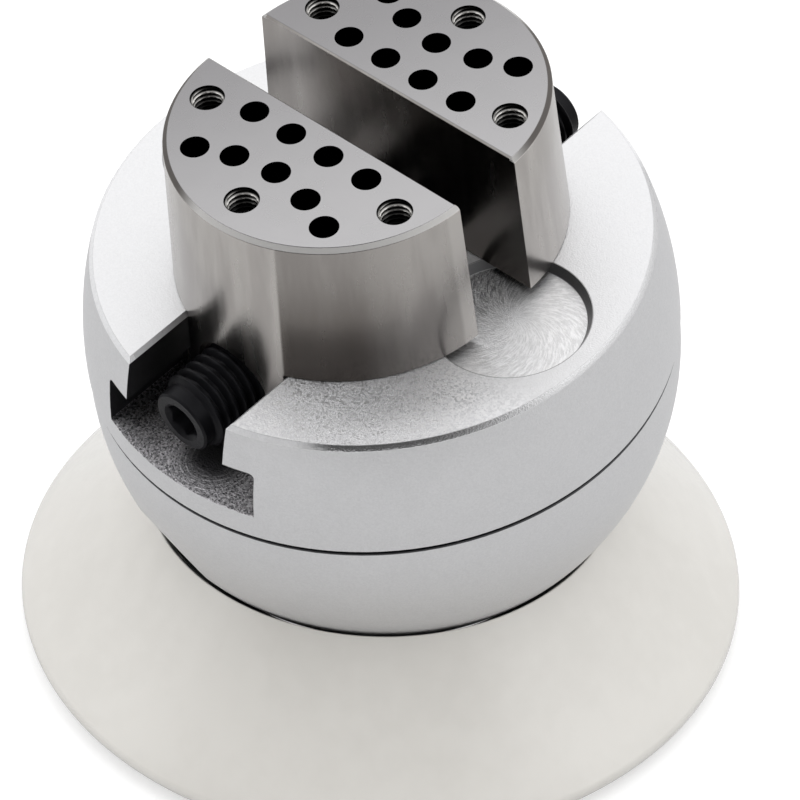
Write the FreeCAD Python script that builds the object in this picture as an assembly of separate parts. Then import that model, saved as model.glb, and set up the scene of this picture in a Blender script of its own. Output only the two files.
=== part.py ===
"""Ball vise: a round work holder for hand engraving and small bench work.

A steel ball lies in a heavy base ring and can be turned and tilted in it. The ball is split
just above its middle: the upper head turns on bearings in the lower ball and carries two jaws.
One screw with a left-hand and a right-hand thread moves both jaws in a T-slot.

Lengths are in millimetres. The base stands on Z = 0 with its centre at the origin. The ball's
own pieces are drawn upright about the ball's centre, with the jaws opening along Y and the
ball's axis on Z, and are then leaned over together into the pose in which the vise is stored.
"""

import FreeCAD, Part
import math
import os

Vector = FreeCAD.Vector

# Pose of the ball in its base
ball_centre_height = 60.0
lean_degrees = 9.43
lean_axis_degrees = 9.79

# Ball, split at the seam
ball_radius = 53.0
seam_height = 5.65
seam_gap = 0.8
seam_chamfer = 0.1
bottom_flat_inset = 4.8

# Upper head
head_height = 28.7
head_profile_radius = 72.4
head_profile_height = 5.16
head_chamfer = 0.8
boss_radius = 34.0
boss_clearance = 0.4
boss_floor_gap = 0.5

# T-slot in the head
slot_floor_height = 11.4
slot_ledge_height = 20.75
slot_neck_half_width = 11.41
slot_half_width = 17.2
slot_corner_radius = 1.0
slot_edge_chamfer = 0.7

# Round pockets milled in the head's top
pocket_radius = 13.93
pocket_floor_radius = 13.0
pocket_offset = 31.8
pocket_depth = 1.8

# Jaws
jaw_top_height = 58.4
jaw_opening = 13.34
jaw_arc_setback = 1.19
jaw_top_radius = 28.8
jaw_base_radius = 30.7
jaw_top_chamfer = 0.8
jaw_edge_chamfer = 0.35
jaw_lift = 0.2
jaw_slide_clearance = 0.05
jaw_ledge_clearance = 0.1
jaw_neck_clearance = 0.1
jaw_foot_clearance = 0.2
jaw_foot_corner_radius = 1.3
jaw_relief = 5.0

# Holes in the jaws, measured back from the inner face and sideways from the middle
pin_radius = 2.5
pin_hole_depth = 15.0
pin_front_setback = 4.875
pin_front_inner_offset = 4.25
pin_front_outer_offset = 12.74
pin_middle_setback = 12.93
pin_second_setback = 14.41
pin_second_offset = 8.11
pin_third_setback = 17.05
pin_third_offset = 14.75
clamp_thread_radius = 3.0
clamp_hole_depth = 14.0
clamp_side_setback = 7.4
clamp_side_offset = 21.4
clamp_rear_setback = 21.0

# Screw that moves the jaws
screw_height = 21.4
screw_radius = 7.0
screw_thread_clearance = 0.05
screw_half_length = 48.2
screw_neck_radius = 5.8
screw_neck_length = 2.2
screw_neck_chamfer = 0.5
screw_shoulder_chamfer = 0.6
screw_groove_radius = 4.5
screw_socket_width = 6.0
screw_socket_depth = 8.0
screw_exit_radius = 8.0
screw_exit_depth = 3.0

# Fork that holds the screw in the middle of the slot
fork_thickness = 8.0
fork_side_clearance = 0.1
fork_bore_clearance = 0.05
fork_height = 13.6
fork_neck_half_width = 11.0
fork_foot_half_width = 16.6
fork_foot_height = 9.0
fork_screw_offset = 7.9
fork_screw_radius = 1.5
fork_screw_head_radius = 2.75
fork_screw_head_height = 3.0
fork_screw_hole_clearance = 0.2
fork_screw_reach = 7.0
fork_screw_socket_width = 2.5
fork_screw_socket_depth = 1.5

# Roller thrust bearing between head and ball
thrust_outer_radius = 30.0
thrust_housing_clearance = 0.05
thrust_lower_bore_radius = 21.0
thrust_upper_bore_radius = 20.0
thrust_upper_outer_radius = 29.5
thrust_race_thickness = 3.5
thrust_roller_radius = 3.0
thrust_roller_play = 0.02
thrust_roller_length = 6.5
thrust_roller_count = 18
thrust_pitch_radius = 25.0
thrust_cage_inner_radius = 20.9
thrust_cage_outer_radius = 29.2
thrust_cage_thickness = 3.0
thrust_window_clearance = 0.1

# Spindle that holds the head down
spindle_flange_clearance = 0.05
spindle_flange_thickness = 7.0
spindle_radius = 8.2
spindle_journal_radius = 7.5
spindle_thread_radius = 7.4
spindle_end_chamfer = 0.8
spindle_bore_radius = 9.0
spindle_tail_reach = 1.0
spindle_screw_circle_radius = 13.5
spindle_screw_radius = 2.0
spindle_screw_count = 4
spindle_screw_first_degrees = 45.0
spindle_screw_head_radius = 3.5
spindle_screw_head_height = 4.0
spindle_screw_head_sink = 0.2
spindle_screw_head_clearance = 0.4
spindle_screw_hole_clearance = 0.2
spindle_screw_reach = 8.0
spindle_screw_socket_width = 3.0
spindle_screw_socket_depth = 2.0

# Roller bearing at the spindle's lower end
bearing_seat_depth = 27.0
bearing_width = 9.0
bearing_outer_radius = 16.0
bearing_outer_track_radius = 14.02
bearing_inner_track_radius = 9.58
bearing_roller_radius = 2.2
bearing_roller_length = 5.6
bearing_roller_count = 11
bearing_cage_inner_radius = 10.9
bearing_cage_outer_radius = 12.7
bearing_cage_height = 7.4
bearing_window_clearance = 0.12
bearing_edge_chamfer = 0.4

# Circlip under that bearing
circlip_thickness = 1.2
circlip_groove_depth = 1.0
circlip_groove_clearance = 0.1
circlip_inner_radius = 14.3
circlip_gap_width = 7.0
circlip_ear_radius = 1.9
circlip_ear_hole_radius = 0.8

# Washer and slotted nut on the spindle
nut_washer_radius = 11.0
nut_washer_thickness = 1.5
nut_radius = 12.0
nut_thickness = 5.0
nut_slot_width = 4.0
nut_slot_depth = 2.0
nut_slot_count = 4

# Cover that closes the ball from below
cover_radius = 20.5
cover_thickness = 2.5
cover_clearance = 0.1
cover_spanner_hole_radius = 1.75
cover_spanner_hole_depth = 1.6
cover_spanner_offset = 14.0

# Brake: a screw pushes a soft pad against the spindle
brake_azimuth_degrees = -100.3
brake_depth = 18.5
brake_mouth_radius = 8.4
brake_mouth_depth = 16.7
brake_thread_radius = 4.0
brake_thread_clearance = 0.05
brake_head_gap = 0.5
brake_head_radius = 6.5
brake_head_height = 8.0
brake_socket_width = 6.0
brake_socket_depth = 4.5
brake_pad_gap = 0.05
brake_pad_length = 4.3

# Base ring: lip, sloping face, rounded rim and underside
lip_depth = 30.7
lip_clearance = 0.57
rim_radius = 68.1
rim_level = 3.9
rim_rounding = 2.0
face_hollow = 0.4
underside_bevel_width = 3.0
base_bore_chamfer = 1.5

# Rubber ring that the ball lies on
seat_clearance = 0.3
seat_drop = 2.8
seat_height = 5.0
seat_top_width = 1.54
seat_overhang = 0.34

# Rubber ring under the base
foot_edge_inset = 7.1
foot_width = 10.0
foot_thickness = 2.5
foot_stand = 0.5
foot_groove_clearance = 0.1

# Shared working values
overrun = 1.0
half_share = 0.5
full_turn = 360.0
half_turn = 180.0
quarter_turn = 90.0
hexagon_sides = 6

# Sizes that follow from those above
head_bottom = seam_height + half_share * seam_gap
ball_top = seam_height - half_share * seam_gap
ball_flat = bottom_flat_inset - ball_radius
thrust_roller_space = 2 * (thrust_roller_radius + thrust_roller_play)
thrust_height = 2 * thrust_race_thickness + thrust_roller_space
thrust_middle = -half_share * thrust_height
spindle_flange_radius = thrust_upper_bore_radius - spindle_flange_clearance
bearing_top = -bearing_seat_depth
bearing_bottom = bearing_top - bearing_width
washer_bottom = bearing_bottom - nut_washer_thickness
nut_bottom = washer_bottom - nut_thickness
spindle_bottom = nut_bottom - spindle_tail_reach
cover_top = ball_flat + cover_thickness
brake_mouth_floor = math.sqrt(ball_radius ** 2 - brake_depth ** 2) - brake_mouth_depth
jaw_face = half_share * jaw_opening
jaw_arc_centre = jaw_face - jaw_arc_setback
jaw_bottom = head_height + jaw_lift
lip_height = ball_centre_height - lip_depth
lip_sphere_radius = ball_radius + lip_clearance
lip_radius = math.sqrt(lip_sphere_radius ** 2 - lip_depth ** 2)
seat_sphere_radius = ball_radius + seat_clearance
seat_top_depth = lip_depth + seat_drop
seat_bottom_depth = seat_top_depth + seat_height
seat_outer_radius = math.sqrt(seat_sphere_radius ** 2 - seat_top_depth ** 2) + seat_top_width
base_bore_radius = math.sqrt(seat_sphere_radius ** 2 - seat_bottom_depth ** 2) + seat_overhang
base_bottom = foot_stand
rim_centre = rim_radius - rim_rounding
foot_outer_radius = rim_radius - foot_edge_inset
foot_inner_radius = foot_outer_radius - foot_width


def circle_height(radius, offset):
    """Height of a circle of the given radius at a sideways offset from its centre."""
    return math.sqrt(radius ** 2 - offset ** 2)


def head_radius_at(height):
    """Radius of the head's curved side at a height above the ball's centre."""
    rise = height - head_profile_height
    return ball_radius - head_profile_radius + circle_height(head_profile_radius, rise)


def jaw_radius_at(height):
    """Radius of a jaw's tapered outer wall at a height above the ball's centre."""
    slope = (jaw_base_radius - jaw_top_radius) / (jaw_top_height - head_height)
    return jaw_base_radius - slope * (height - head_height)


def outline(steps, place):
    """Face from an outline: each step is one point, or a mid point and an end point of an arc."""
    here = place(*steps[0][-1])
    first = here
    edges = []
    for step in steps[1:]:
        end = place(*step[-1])
        if len(step) == 2:
            edges.append(Part.Arc(here, place(*step[0]), end).toShape())
        else:
            edges.append(Part.LineSegment(here, end).toShape())
        here = end
    edges.append(Part.LineSegment(here, first).toShape())
    return Part.Face(Part.Wire(edges))


def turned(steps):
    """Solid of revolution about Z from an outline of radii and heights."""
    face = outline(steps, lambda radius, height: Vector(radius, 0, height))
    return face.revolve(Vector(0, 0, 0), Vector(0, 0, 1), full_turn)


def drawn_along_y(steps, reach):
    """Prism along Y, to the reach on both sides, from an outline of X and Z values."""
    face = outline(steps, lambda across, height: Vector(across, -reach, height))
    return face.extrude(Vector(0, 2 * reach, 0))


def drawn_along_x(steps, reach):
    """Prism along X, to the reach on both sides, from an outline of Y and Z values."""
    face = outline(steps, lambda along, height: Vector(-reach, along, height))
    return face.extrude(Vector(2 * reach, 0, 0))


def points(*pairs):
    """Outline steps for straight runs through the given pairs."""
    return [(pair,) for pair in pairs]


def upright_cylinder(radius, bottom, top, x=0.0, y=0.0):
    """Cylinder on a vertical axis between two heights."""
    return Part.makeCylinder(radius, top - bottom, Vector(x, y, bottom))


def level_cylinder(radius, start, end, height, direction=None):
    """Cylinder on a level axis through the middle line, from one distance out to another."""
    along = direction or Vector(0, 1, 0)
    foot = along * start + Vector(0, 0, height)
    return Part.makeCylinder(radius, end - start, foot, along)


def hexagon_prism(width, length, foot, direction):
    """Six-sided prism of a given width across flats, with two corners sideways."""
    corner = width / (2 * math.cos(math.radians(half_share * full_turn / hexagon_sides)))
    upright = Vector(0, 0, 1)
    side = direction.cross(upright)
    if side.Length == 0:
        side = Vector(1, 0, 0)
    side.normalize()
    up = side.cross(direction)
    corners = []
    for index in range(hexagon_sides):
        angle = 2 * math.pi * index / hexagon_sides
        corners.append(foot + side * (corner * math.cos(angle)) + up * (corner * math.sin(angle)))
    corners.append(corners[0])
    return Part.Face(Part.makePolygon(corners)).extrude(direction * length)


def around(shape, count, first_degrees=0.0):
    """Copies of a shape spread evenly about Z."""
    copies = []
    for index in range(count):
        copy = shape.copy()
        copy.rotate(Vector(0, 0, 0), Vector(0, 0, 1), first_degrees + full_turn * index / count)
        copies.append(copy)
    return copies


def mirrored_y(shape):
    """The same shape on the other side of the ball."""
    return shape.mirror(Vector(0, 0, 0), Vector(0, 1, 0))


def placed(shape):
    """Lean a piece of the ball over into its stored pose and lift it to its height."""
    angle = math.radians(lean_axis_degrees)
    leaning = shape.copy()
    leaning.rotate(Vector(0, 0, 0), Vector(math.cos(angle), math.sin(angle), 0), lean_degrees)
    leaning.translate(Vector(0, 0, ball_centre_height))
    return leaning


def cap_screw(head_radius, head_height, shank_radius, shank_length, socket_width, socket_depth):
    """Socket-head screw pointing down: underside of the head at zero, shank below it."""
    screw = upright_cylinder(head_radius, 0, head_height)
    screw = screw.fuse(upright_cylinder(shank_radius, -shank_length, 0))
    floor = Vector(0, 0, head_height - socket_depth)
    socket = hexagon_prism(socket_width, socket_depth + overrun, floor, Vector(0, 0, 1))
    return screw.cut(socket)


def rim_edge():
    """Radius and height at which a straight face from the lip would touch the rim's rounding."""
    run = rim_centre - lip_radius
    rise = lip_height - rim_level
    turn = math.atan2(rise, -run) - math.acos(rim_rounding / math.hypot(run, rise))
    return (rim_centre + rim_rounding * math.cos(turn), rim_level + rim_rounding * math.sin(turn))


def base_ring():
    """Heavy ring with a hollow sloping face, a rounded rim and the ledge for the seat ring."""
    edge = rim_edge()
    face_run = edge[0] - lip_radius
    face_fall = lip_height - edge[1]
    face_length = math.hypot(face_run, face_fall)
    face_middle = (
        half_share * (lip_radius + edge[0]) - face_hollow * face_fall / face_length,
        half_share * (lip_height + edge[1]) - face_hollow * face_run / face_length,
    )
    groove_top_depth = seat_top_depth - seat_clearance
    bowl_middle_depth = half_share * (lip_depth + groove_top_depth)
    bowl_middle = (circle_height(lip_sphere_radius, bowl_middle_depth),
                   ball_centre_height - bowl_middle_depth)
    bowl_end = (circle_height(lip_sphere_radius, groove_top_depth),
                ball_centre_height - groove_top_depth)
    groove_radius = seat_outer_radius + seat_clearance
    groove_floor = ball_centre_height - seat_bottom_depth
    steps = points(
        (rim_centre - underside_bevel_width, base_bottom),
        (rim_centre, rim_level - rim_rounding),
    )
    steps.append(((rim_radius, rim_level), edge))
    steps.append((face_middle, (lip_radius, lip_height)))
    steps.append((bowl_middle, bowl_end))
    steps += points(
        (groove_radius, ball_centre_height - groove_top_depth),
        (groove_radius, groove_floor),
        (base_bore_radius, groove_floor),
        (base_bore_radius, base_bottom + base_bore_chamfer),
        (base_bore_radius + base_bore_chamfer, base_bottom),
    )
    ring = turned(steps)
    groove_height = foot_thickness
    groove = upright_cylinder(foot_outer_radius + foot_groove_clearance, 0, groove_height)
    groove = groove.cut(
        upright_cylinder(foot_inner_radius - foot_groove_clearance, 0, groove_height))
    return ring.cut(groove)


def foot_ring():
    """Flat rubber ring in the underside, standing a little proud of it."""
    ring = upright_cylinder(foot_outer_radius, 0, foot_thickness)
    return ring.cut(upright_cylinder(foot_inner_radius, 0, foot_thickness))


def seat_ring():
    """Rubber ring with a hollow inner face that follows the ball."""
    radius = seat_sphere_radius
    middle_depth = half_share * (seat_top_depth + seat_bottom_depth)
    top = ball_centre_height - seat_top_depth
    bottom = ball_centre_height - seat_bottom_depth
    steps = points(
        (seat_outer_radius, bottom),
        (seat_outer_radius, top),
        (circle_height(radius, seat_top_depth), top),
    )
    steps.append(((circle_height(radius, middle_depth), ball_centre_height - middle_depth),
                  (circle_height(radius, seat_bottom_depth), bottom)))
    return turned(steps)


def lower_ball():
    """Ball below the seam: recess for the head's boss, bearing seats, spindle bore and brake hole."""
    recess_radius = boss_radius + boss_clearance
    recess_floor = -boss_floor_gap
    pocket_wall = thrust_outer_radius + thrust_housing_clearance
    pocket_floor = -thrust_height
    edge_height = ball_top - seam_chamfer
    groove_radius = bearing_outer_radius + circlip_groove_depth
    groove_bottom = bearing_bottom - circlip_thickness - circlip_groove_clearance
    cover_wall = cover_radius + cover_clearance
    steps = points(
        (spindle_bore_radius, pocket_floor),
        (pocket_wall, pocket_floor),
        (pocket_wall, recess_floor),
        (recess_radius, recess_floor),
        (recess_radius, ball_top),
        (circle_height(ball_radius, ball_top) - seam_chamfer, ball_top),
        (circle_height(ball_radius, edge_height), edge_height),
    )
    widest_part = half_share * (edge_height + ball_flat)
    steps.append(((circle_height(ball_radius, widest_part), widest_part),
                  (circle_height(ball_radius, ball_flat), ball_flat)))
    steps += points(
        (cover_wall, ball_flat),
        (cover_wall, cover_top),
        (bearing_outer_radius, cover_top),
        (bearing_outer_radius, groove_bottom),
        (groove_radius, groove_bottom),
        (groove_radius, bearing_bottom),
        (bearing_outer_radius, bearing_bottom),
        (bearing_outer_radius, bearing_top),
        (spindle_bore_radius, bearing_top),
    )
    ball = turned(steps)
    outward = brake_direction()
    mouth = level_cylinder(brake_mouth_radius, brake_mouth_floor, ball_radius, -brake_depth, outward)
    thread = level_cylinder(brake_thread_radius, 0, ball_radius, -brake_depth, outward)
    return ball.cut(mouth.fuse(thread))


def brake_direction():
    """Level direction in which the brake screw backs out."""
    angle = math.radians(brake_azimuth_degrees)
    return Vector(math.cos(angle), math.sin(angle), 0)


def bottom_cover():
    """Screwed-in cover with two blind holes for a pin spanner."""
    cover = upright_cylinder(cover_radius, ball_flat, cover_top)
    for side in (-1, 1):
        cover = cover.cut(upright_cylinder(
            cover_spanner_hole_radius, ball_flat - overrun, ball_flat + cover_spanner_hole_depth,
            side * cover_spanner_offset))
    return cover


def flat_ring(outer_radius, inner_radius, bottom, top):
    """Plain ring between two heights."""
    return upright_cylinder(outer_radius, bottom, top).cut(
        upright_cylinder(inner_radius, bottom - overrun, top + overrun))


def thrust_race_lower():
    """Flat bearing washer in the ball."""
    return flat_ring(thrust_outer_radius, thrust_lower_bore_radius,
                     -thrust_height, -thrust_height + thrust_race_thickness)


def thrust_race_upper():
    """Flat bearing washer under the head."""
    return flat_ring(thrust_upper_outer_radius, thrust_upper_bore_radius, -thrust_race_thickness, 0)


def thrust_cage():
    """Flat cage with a window for each roller."""
    cage = flat_ring(thrust_cage_outer_radius, thrust_cage_inner_radius,
                     thrust_middle - half_share * thrust_cage_thickness,
                     thrust_middle + half_share * thrust_cage_thickness)
    width = 2 * (thrust_roller_radius + thrust_window_clearance)
    length = thrust_roller_length + 2 * thrust_window_clearance
    window = Part.makeBox(length, width, thrust_height, Vector(
        thrust_pitch_radius - half_share * length, -half_share * width, -thrust_height))
    for cut in around(window, thrust_roller_count):
        cage = cage.cut(cut)
    return cage


def thrust_rollers():
    """Rollers that lie like spokes between the two washers."""
    inner_end = thrust_pitch_radius - half_share * thrust_roller_length
    roller = level_cylinder(thrust_roller_radius, inner_end, inner_end + thrust_roller_length,
                            thrust_middle, Vector(1, 0, 0))
    return Part.makeCompound(around(roller, thrust_roller_count))


def spindle_screw_places():
    """Middle points of the spindle's screws."""
    places = []
    for index in range(spindle_screw_count):
        angle = math.radians(spindle_screw_first_degrees + full_turn * index / spindle_screw_count)
        places.append(Vector(spindle_screw_circle_radius * math.cos(angle),
                             spindle_screw_circle_radius * math.sin(angle), 0))
    return places


def spindle():
    """Flanged shaft that hangs from the head and is held by the lower bearing."""
    steps = points(
        (0, 0),
        (spindle_flange_radius, 0),
        (spindle_flange_radius, -spindle_flange_thickness),
        (spindle_radius, -spindle_flange_thickness),
        (spindle_radius, bearing_top),
        (spindle_journal_radius, bearing_top),
        (spindle_journal_radius, bearing_bottom),
        (spindle_thread_radius, bearing_bottom),
        (spindle_thread_radius, spindle_bottom + spindle_end_chamfer),
        (spindle_thread_radius - spindle_end_chamfer, spindle_bottom),
        (0, spindle_bottom),
    )
    shaft = turned(steps)
    sink = spindle_screw_head_height + spindle_screw_head_sink
    for place in spindle_screw_places():
        shaft = shaft.cut(upright_cylinder(
            spindle_screw_head_radius + spindle_screw_head_clearance,
            -spindle_flange_thickness - overrun, -spindle_flange_thickness + sink,
            place.x, place.y))
        shaft = shaft.cut(upright_cylinder(
            spindle_screw_radius + spindle_screw_hole_clearance,
            -spindle_flange_thickness, overrun, place.x, place.y))
    return shaft


def spindle_screws():
    """Socket-head screws that pull the spindle's flange against the head from below."""
    seat = -spindle_flange_thickness + spindle_screw_head_height + spindle_screw_head_sink
    screws = []
    for place in spindle_screw_places():
        screw = cap_screw(spindle_screw_head_radius, spindle_screw_head_height,
                          spindle_screw_radius, spindle_screw_reach - seat,
                          spindle_screw_socket_width, spindle_screw_socket_depth)
        screw.rotate(Vector(0, 0, 0), Vector(1, 0, 0), half_turn)
        screw.translate(place + Vector(0, 0, seat))
        screws.append(screw)
    return Part.makeCompound(screws)


def bearing_outer_ring():
    """Outer ring of the lower bearing, in the ball."""
    chamfer = bearing_edge_chamfer
    return turned(points(
        (bearing_outer_track_radius, bearing_bottom),
        (bearing_outer_radius - chamfer, bearing_bottom),
        (bearing_outer_radius, bearing_bottom + chamfer),
        (bearing_outer_radius, bearing_top - chamfer),
        (bearing_outer_radius - chamfer, bearing_top),
        (bearing_outer_track_radius, bearing_top),
    ))


def bearing_inner_ring():
    """Inner ring of the lower bearing, on the spindle."""
    chamfer = bearing_edge_chamfer
    return turned(points(
        (spindle_journal_radius + chamfer, bearing_bottom),
        (bearing_inner_track_radius, bearing_bottom),
        (bearing_inner_track_radius, bearing_top),
        (spindle_journal_radius + chamfer, bearing_top),
        (spindle_journal_radius, bearing_top - chamfer),
        (spindle_journal_radius, bearing_bottom + chamfer),
    ))


def bearing_roller(radius, length):
    """One upright roller, or the window for it, at its place between the rings."""
    pitch_radius = half_share * (bearing_inner_track_radius + bearing_outer_track_radius)
    middle = half_share * (bearing_top + bearing_bottom)
    return upright_cylinder(radius, middle - half_share * length, middle + half_share * length,
                            pitch_radius)


def bearing_cage():
    """Cage of the lower bearing."""
    middle = half_share * (bearing_top + bearing_bottom)
    reach = half_share * bearing_cage_height
    cage = flat_ring(bearing_cage_outer_radius, bearing_cage_inner_radius,
                     middle - reach, middle + reach)
    window = bearing_roller(bearing_roller_radius + bearing_window_clearance,
                            bearing_roller_length + 2 * bearing_window_clearance)
    for cut in around(window, bearing_roller_count):
        cage = cage.cut(cut)
    return cage


def bearing_rollers():
    """Rollers of the lower bearing."""
    roller = bearing_roller(bearing_roller_radius, bearing_roller_length)
    return Part.makeCompound(around(roller, bearing_roller_count))


def bearing_circlip():
    """Open spring ring with two eared ends in the groove below the bearing."""
    outer = bearing_outer_radius + circlip_groove_depth - circlip_groove_clearance
    bottom = bearing_bottom - circlip_thickness
    ring = flat_ring(outer, circlip_inner_radius, bottom, bearing_bottom)
    gap = Part.makeBox(outer, circlip_gap_width, circlip_thickness,
                       Vector(0, -half_share * circlip_gap_width, bottom))
    ring = ring.cut(gap)
    ear_side = half_share * circlip_gap_width + circlip_ear_radius
    ear_out = circle_height(circlip_inner_radius, ear_side)
    for side in (-1, 1):
        ear = upright_cylinder(circlip_ear_radius, bottom, bearing_bottom, ear_out, side * ear_side)
        hole = upright_cylinder(circlip_ear_hole_radius, bottom, bearing_bottom,
                                ear_out, side * ear_side)
        ear = ear.common(upright_cylinder(outer, bottom, bearing_bottom))
        ring = ring.fuse(ear).cut(hole)
    return ring.removeSplitter()


def spindle_washer():
    """Washer between the bearing's inner ring and the nut."""
    return flat_ring(nut_washer_radius, spindle_thread_radius, washer_bottom, bearing_bottom)


def spindle_nut():
    """Slotted round nut that sets the bearings' play."""
    nut = flat_ring(nut_radius, spindle_thread_radius, nut_bottom, washer_bottom)
    slot = Part.makeBox(nut_slot_depth + overrun, nut_slot_width, nut_thickness, Vector(
        nut_radius - nut_slot_depth, -half_share * nut_slot_width, nut_bottom))
    for cut in around(slot, nut_slot_count):
        nut = nut.cut(cut)
    return nut


def mirrored_steps(right_side):
    """Outline that is alike on both sides: the right side from bottom to top, then the left."""
    steps = list(right_side)
    ends = [step[-1] for step in right_side]
    for index in range(len(right_side) - 1, -1, -1):
        across, height = ends[index]
        if index + 1 < len(right_side) and len(right_side[index + 1]) == 2:
            middle_across, middle_height = right_side[index + 1][0]
            steps.append(((-middle_across, middle_height), (-across, height)))
        else:
            steps.append(((-across, height),))
    return steps


def corner_steps(across, height, radius):
    """Quarter-round corner between an upright side and a level top running inward."""
    inset = radius * (1 - math.cos(math.radians(quarter_turn / 2)))
    return [((across, height - radius),),
            ((across - inset, height - inset), (across - radius, height))]


def t_slot():
    """The space cut out of the head for the jaws' feet."""
    top = head_height + overrun
    right = points((slot_half_width, slot_floor_height))
    right += corner_steps(slot_half_width, slot_ledge_height, slot_corner_radius)
    right += points(
        (slot_neck_half_width, slot_ledge_height),
        (slot_neck_half_width, head_height - slot_edge_chamfer),
        (slot_neck_half_width + slot_edge_chamfer, head_height),
        (slot_neck_half_width + slot_edge_chamfer, top),
    )
    return drawn_along_y(mirrored_steps(right), ball_radius + overrun)


def pocket(side):
    """Shape cut from the head for one round pocket, narrower at its floor."""
    floor = head_height - pocket_depth
    cut = turned(points(
        (0, floor),
        (pocket_floor_radius, floor),
        (pocket_radius, head_height),
        (pocket_radius, head_height + overrun),
        (0, head_height + overrun),
    ))
    cut.translate(Vector(side * pocket_offset, 0, 0))
    return cut


def upper_head():
    """Turning head: barrel-shaped side, T-slot, round pockets and the boss for the bearing."""
    edge_low = head_bottom + seam_chamfer
    edge_high = head_height - head_chamfer
    edge_middle = half_share * (edge_low + edge_high)
    steps = points(
        (0, 0),
        (boss_radius, 0),
        (boss_radius, head_bottom),
        (head_radius_at(head_bottom) - seam_chamfer, head_bottom),
        (head_radius_at(edge_low), edge_low),
    )
    steps.append(((head_radius_at(edge_middle), edge_middle),
                  (head_radius_at(edge_high), edge_high)))
    steps += points(
        (head_radius_at(edge_high) - head_chamfer, head_height),
        (0, head_height),
    )
    head = turned(steps)
    head = head.cut(t_slot())
    for side in (-1, 1):
        head = head.cut(pocket(side))
        head = head.cut(upright_cylinder(
            fork_screw_radius, slot_floor_height - fork_screw_reach, slot_floor_height,
            side * fork_screw_offset))
    for place in spindle_screw_places():
        head = head.cut(upright_cylinder(spindle_screw_radius, 0, spindle_screw_reach,
                                         place.x, place.y))
    return head


def screw_fork():
    """Yoke on the slot's floor that holds the screw by its middle groove, open at the top."""
    top = slot_floor_height + fork_height
    foot_top = slot_floor_height + fork_foot_height
    half = half_share * fork_thickness
    right = points(
        (fork_foot_half_width, slot_floor_height),
        (fork_foot_half_width, foot_top),
        (fork_neck_half_width, foot_top),
        (fork_neck_half_width, top),
    )
    fork = drawn_along_y(mirrored_steps(right), half)
    bore = screw_groove_radius + fork_bore_clearance
    fork = fork.cut(level_cylinder(bore, -fork_thickness, fork_thickness, screw_height))
    fork = fork.cut(Part.makeBox(2 * bore, 2 * fork_thickness, fork_height,
                                 Vector(-bore, -fork_thickness, screw_height)))
    for side in (-1, 1):
        fork = fork.cut(upright_cylinder(
            fork_screw_radius + fork_screw_hole_clearance, slot_floor_height - overrun,
            top + overrun, side * fork_screw_offset))
    return fork


def fork_screws():
    """Two socket-head screws that hold the fork to the slot's floor."""
    top = slot_floor_height + fork_height
    screws = []
    for side in (-1, 1):
        screw = cap_screw(fork_screw_head_radius, fork_screw_head_height, fork_screw_radius,
                          fork_height + fork_screw_reach,
                          fork_screw_socket_width, fork_screw_socket_depth)
        screw.translate(Vector(side * fork_screw_offset, 0, top))
        screws.append(screw)
    return Part.makeCompound(screws)


def lead_screw():
    """Long screw with a groove in its middle and a plain neck and hexagon socket at each end."""
    groove_half = half_share * fork_thickness + fork_side_clearance
    shoulder = screw_half_length - screw_neck_length
    steps = [
        (screw_groove_radius, groove_half),
        (screw_radius, groove_half),
        (screw_radius, shoulder - screw_shoulder_chamfer),
        (screw_radius - screw_shoulder_chamfer, shoulder),
        (screw_neck_radius, shoulder),
        (screw_neck_radius, screw_half_length - screw_neck_chamfer),
        (screw_neck_radius - screw_neck_chamfer, screw_half_length),
        (0, screw_half_length),
    ]
    other_half = []
    for radius, along in reversed(steps):
        other_half.append((radius, -along))
    screw = turned(points(*other_half, *steps))
    screw.rotate(Vector(0, 0, 0), Vector(1, 0, 0), -quarter_turn)
    screw.translate(Vector(0, 0, screw_height))
    for side in (-1, 1):
        outward = Vector(0, side, 0)
        floor = outward * (screw_half_length - screw_socket_depth) + Vector(0, 0, screw_height)
        screw = screw.cut(hexagon_prism(
            screw_socket_width, screw_socket_depth + overrun, floor, outward))
    return screw


def jaw_holes(face):
    """Pin holes and threaded holes in the top of the near jaw."""
    pins = []
    for side in (-1, 1):
        pins.append((side * pin_front_inner_offset, pin_front_setback))
        pins.append((side * pin_front_outer_offset, pin_front_setback))
        pins.append((side * pin_second_offset, pin_second_setback))
        pins.append((side * pin_third_offset, pin_third_setback))
    pins.append((0, pin_middle_setback))
    threads = [(0, clamp_rear_setback)]
    for side in (-1, 1):
        threads.append((side * clamp_side_offset, clamp_side_setback))
    holes = []
    for across, setback in pins:
        holes.append(upright_cylinder(pin_radius, jaw_top_height - pin_hole_depth,
                                      jaw_top_height + overrun, across, -face - setback))
    for across, setback in threads:
        holes.append(upright_cylinder(clamp_thread_radius, jaw_top_height - clamp_hole_depth,
                                      jaw_top_height + overrun, across, -face - setback))
    return holes


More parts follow.
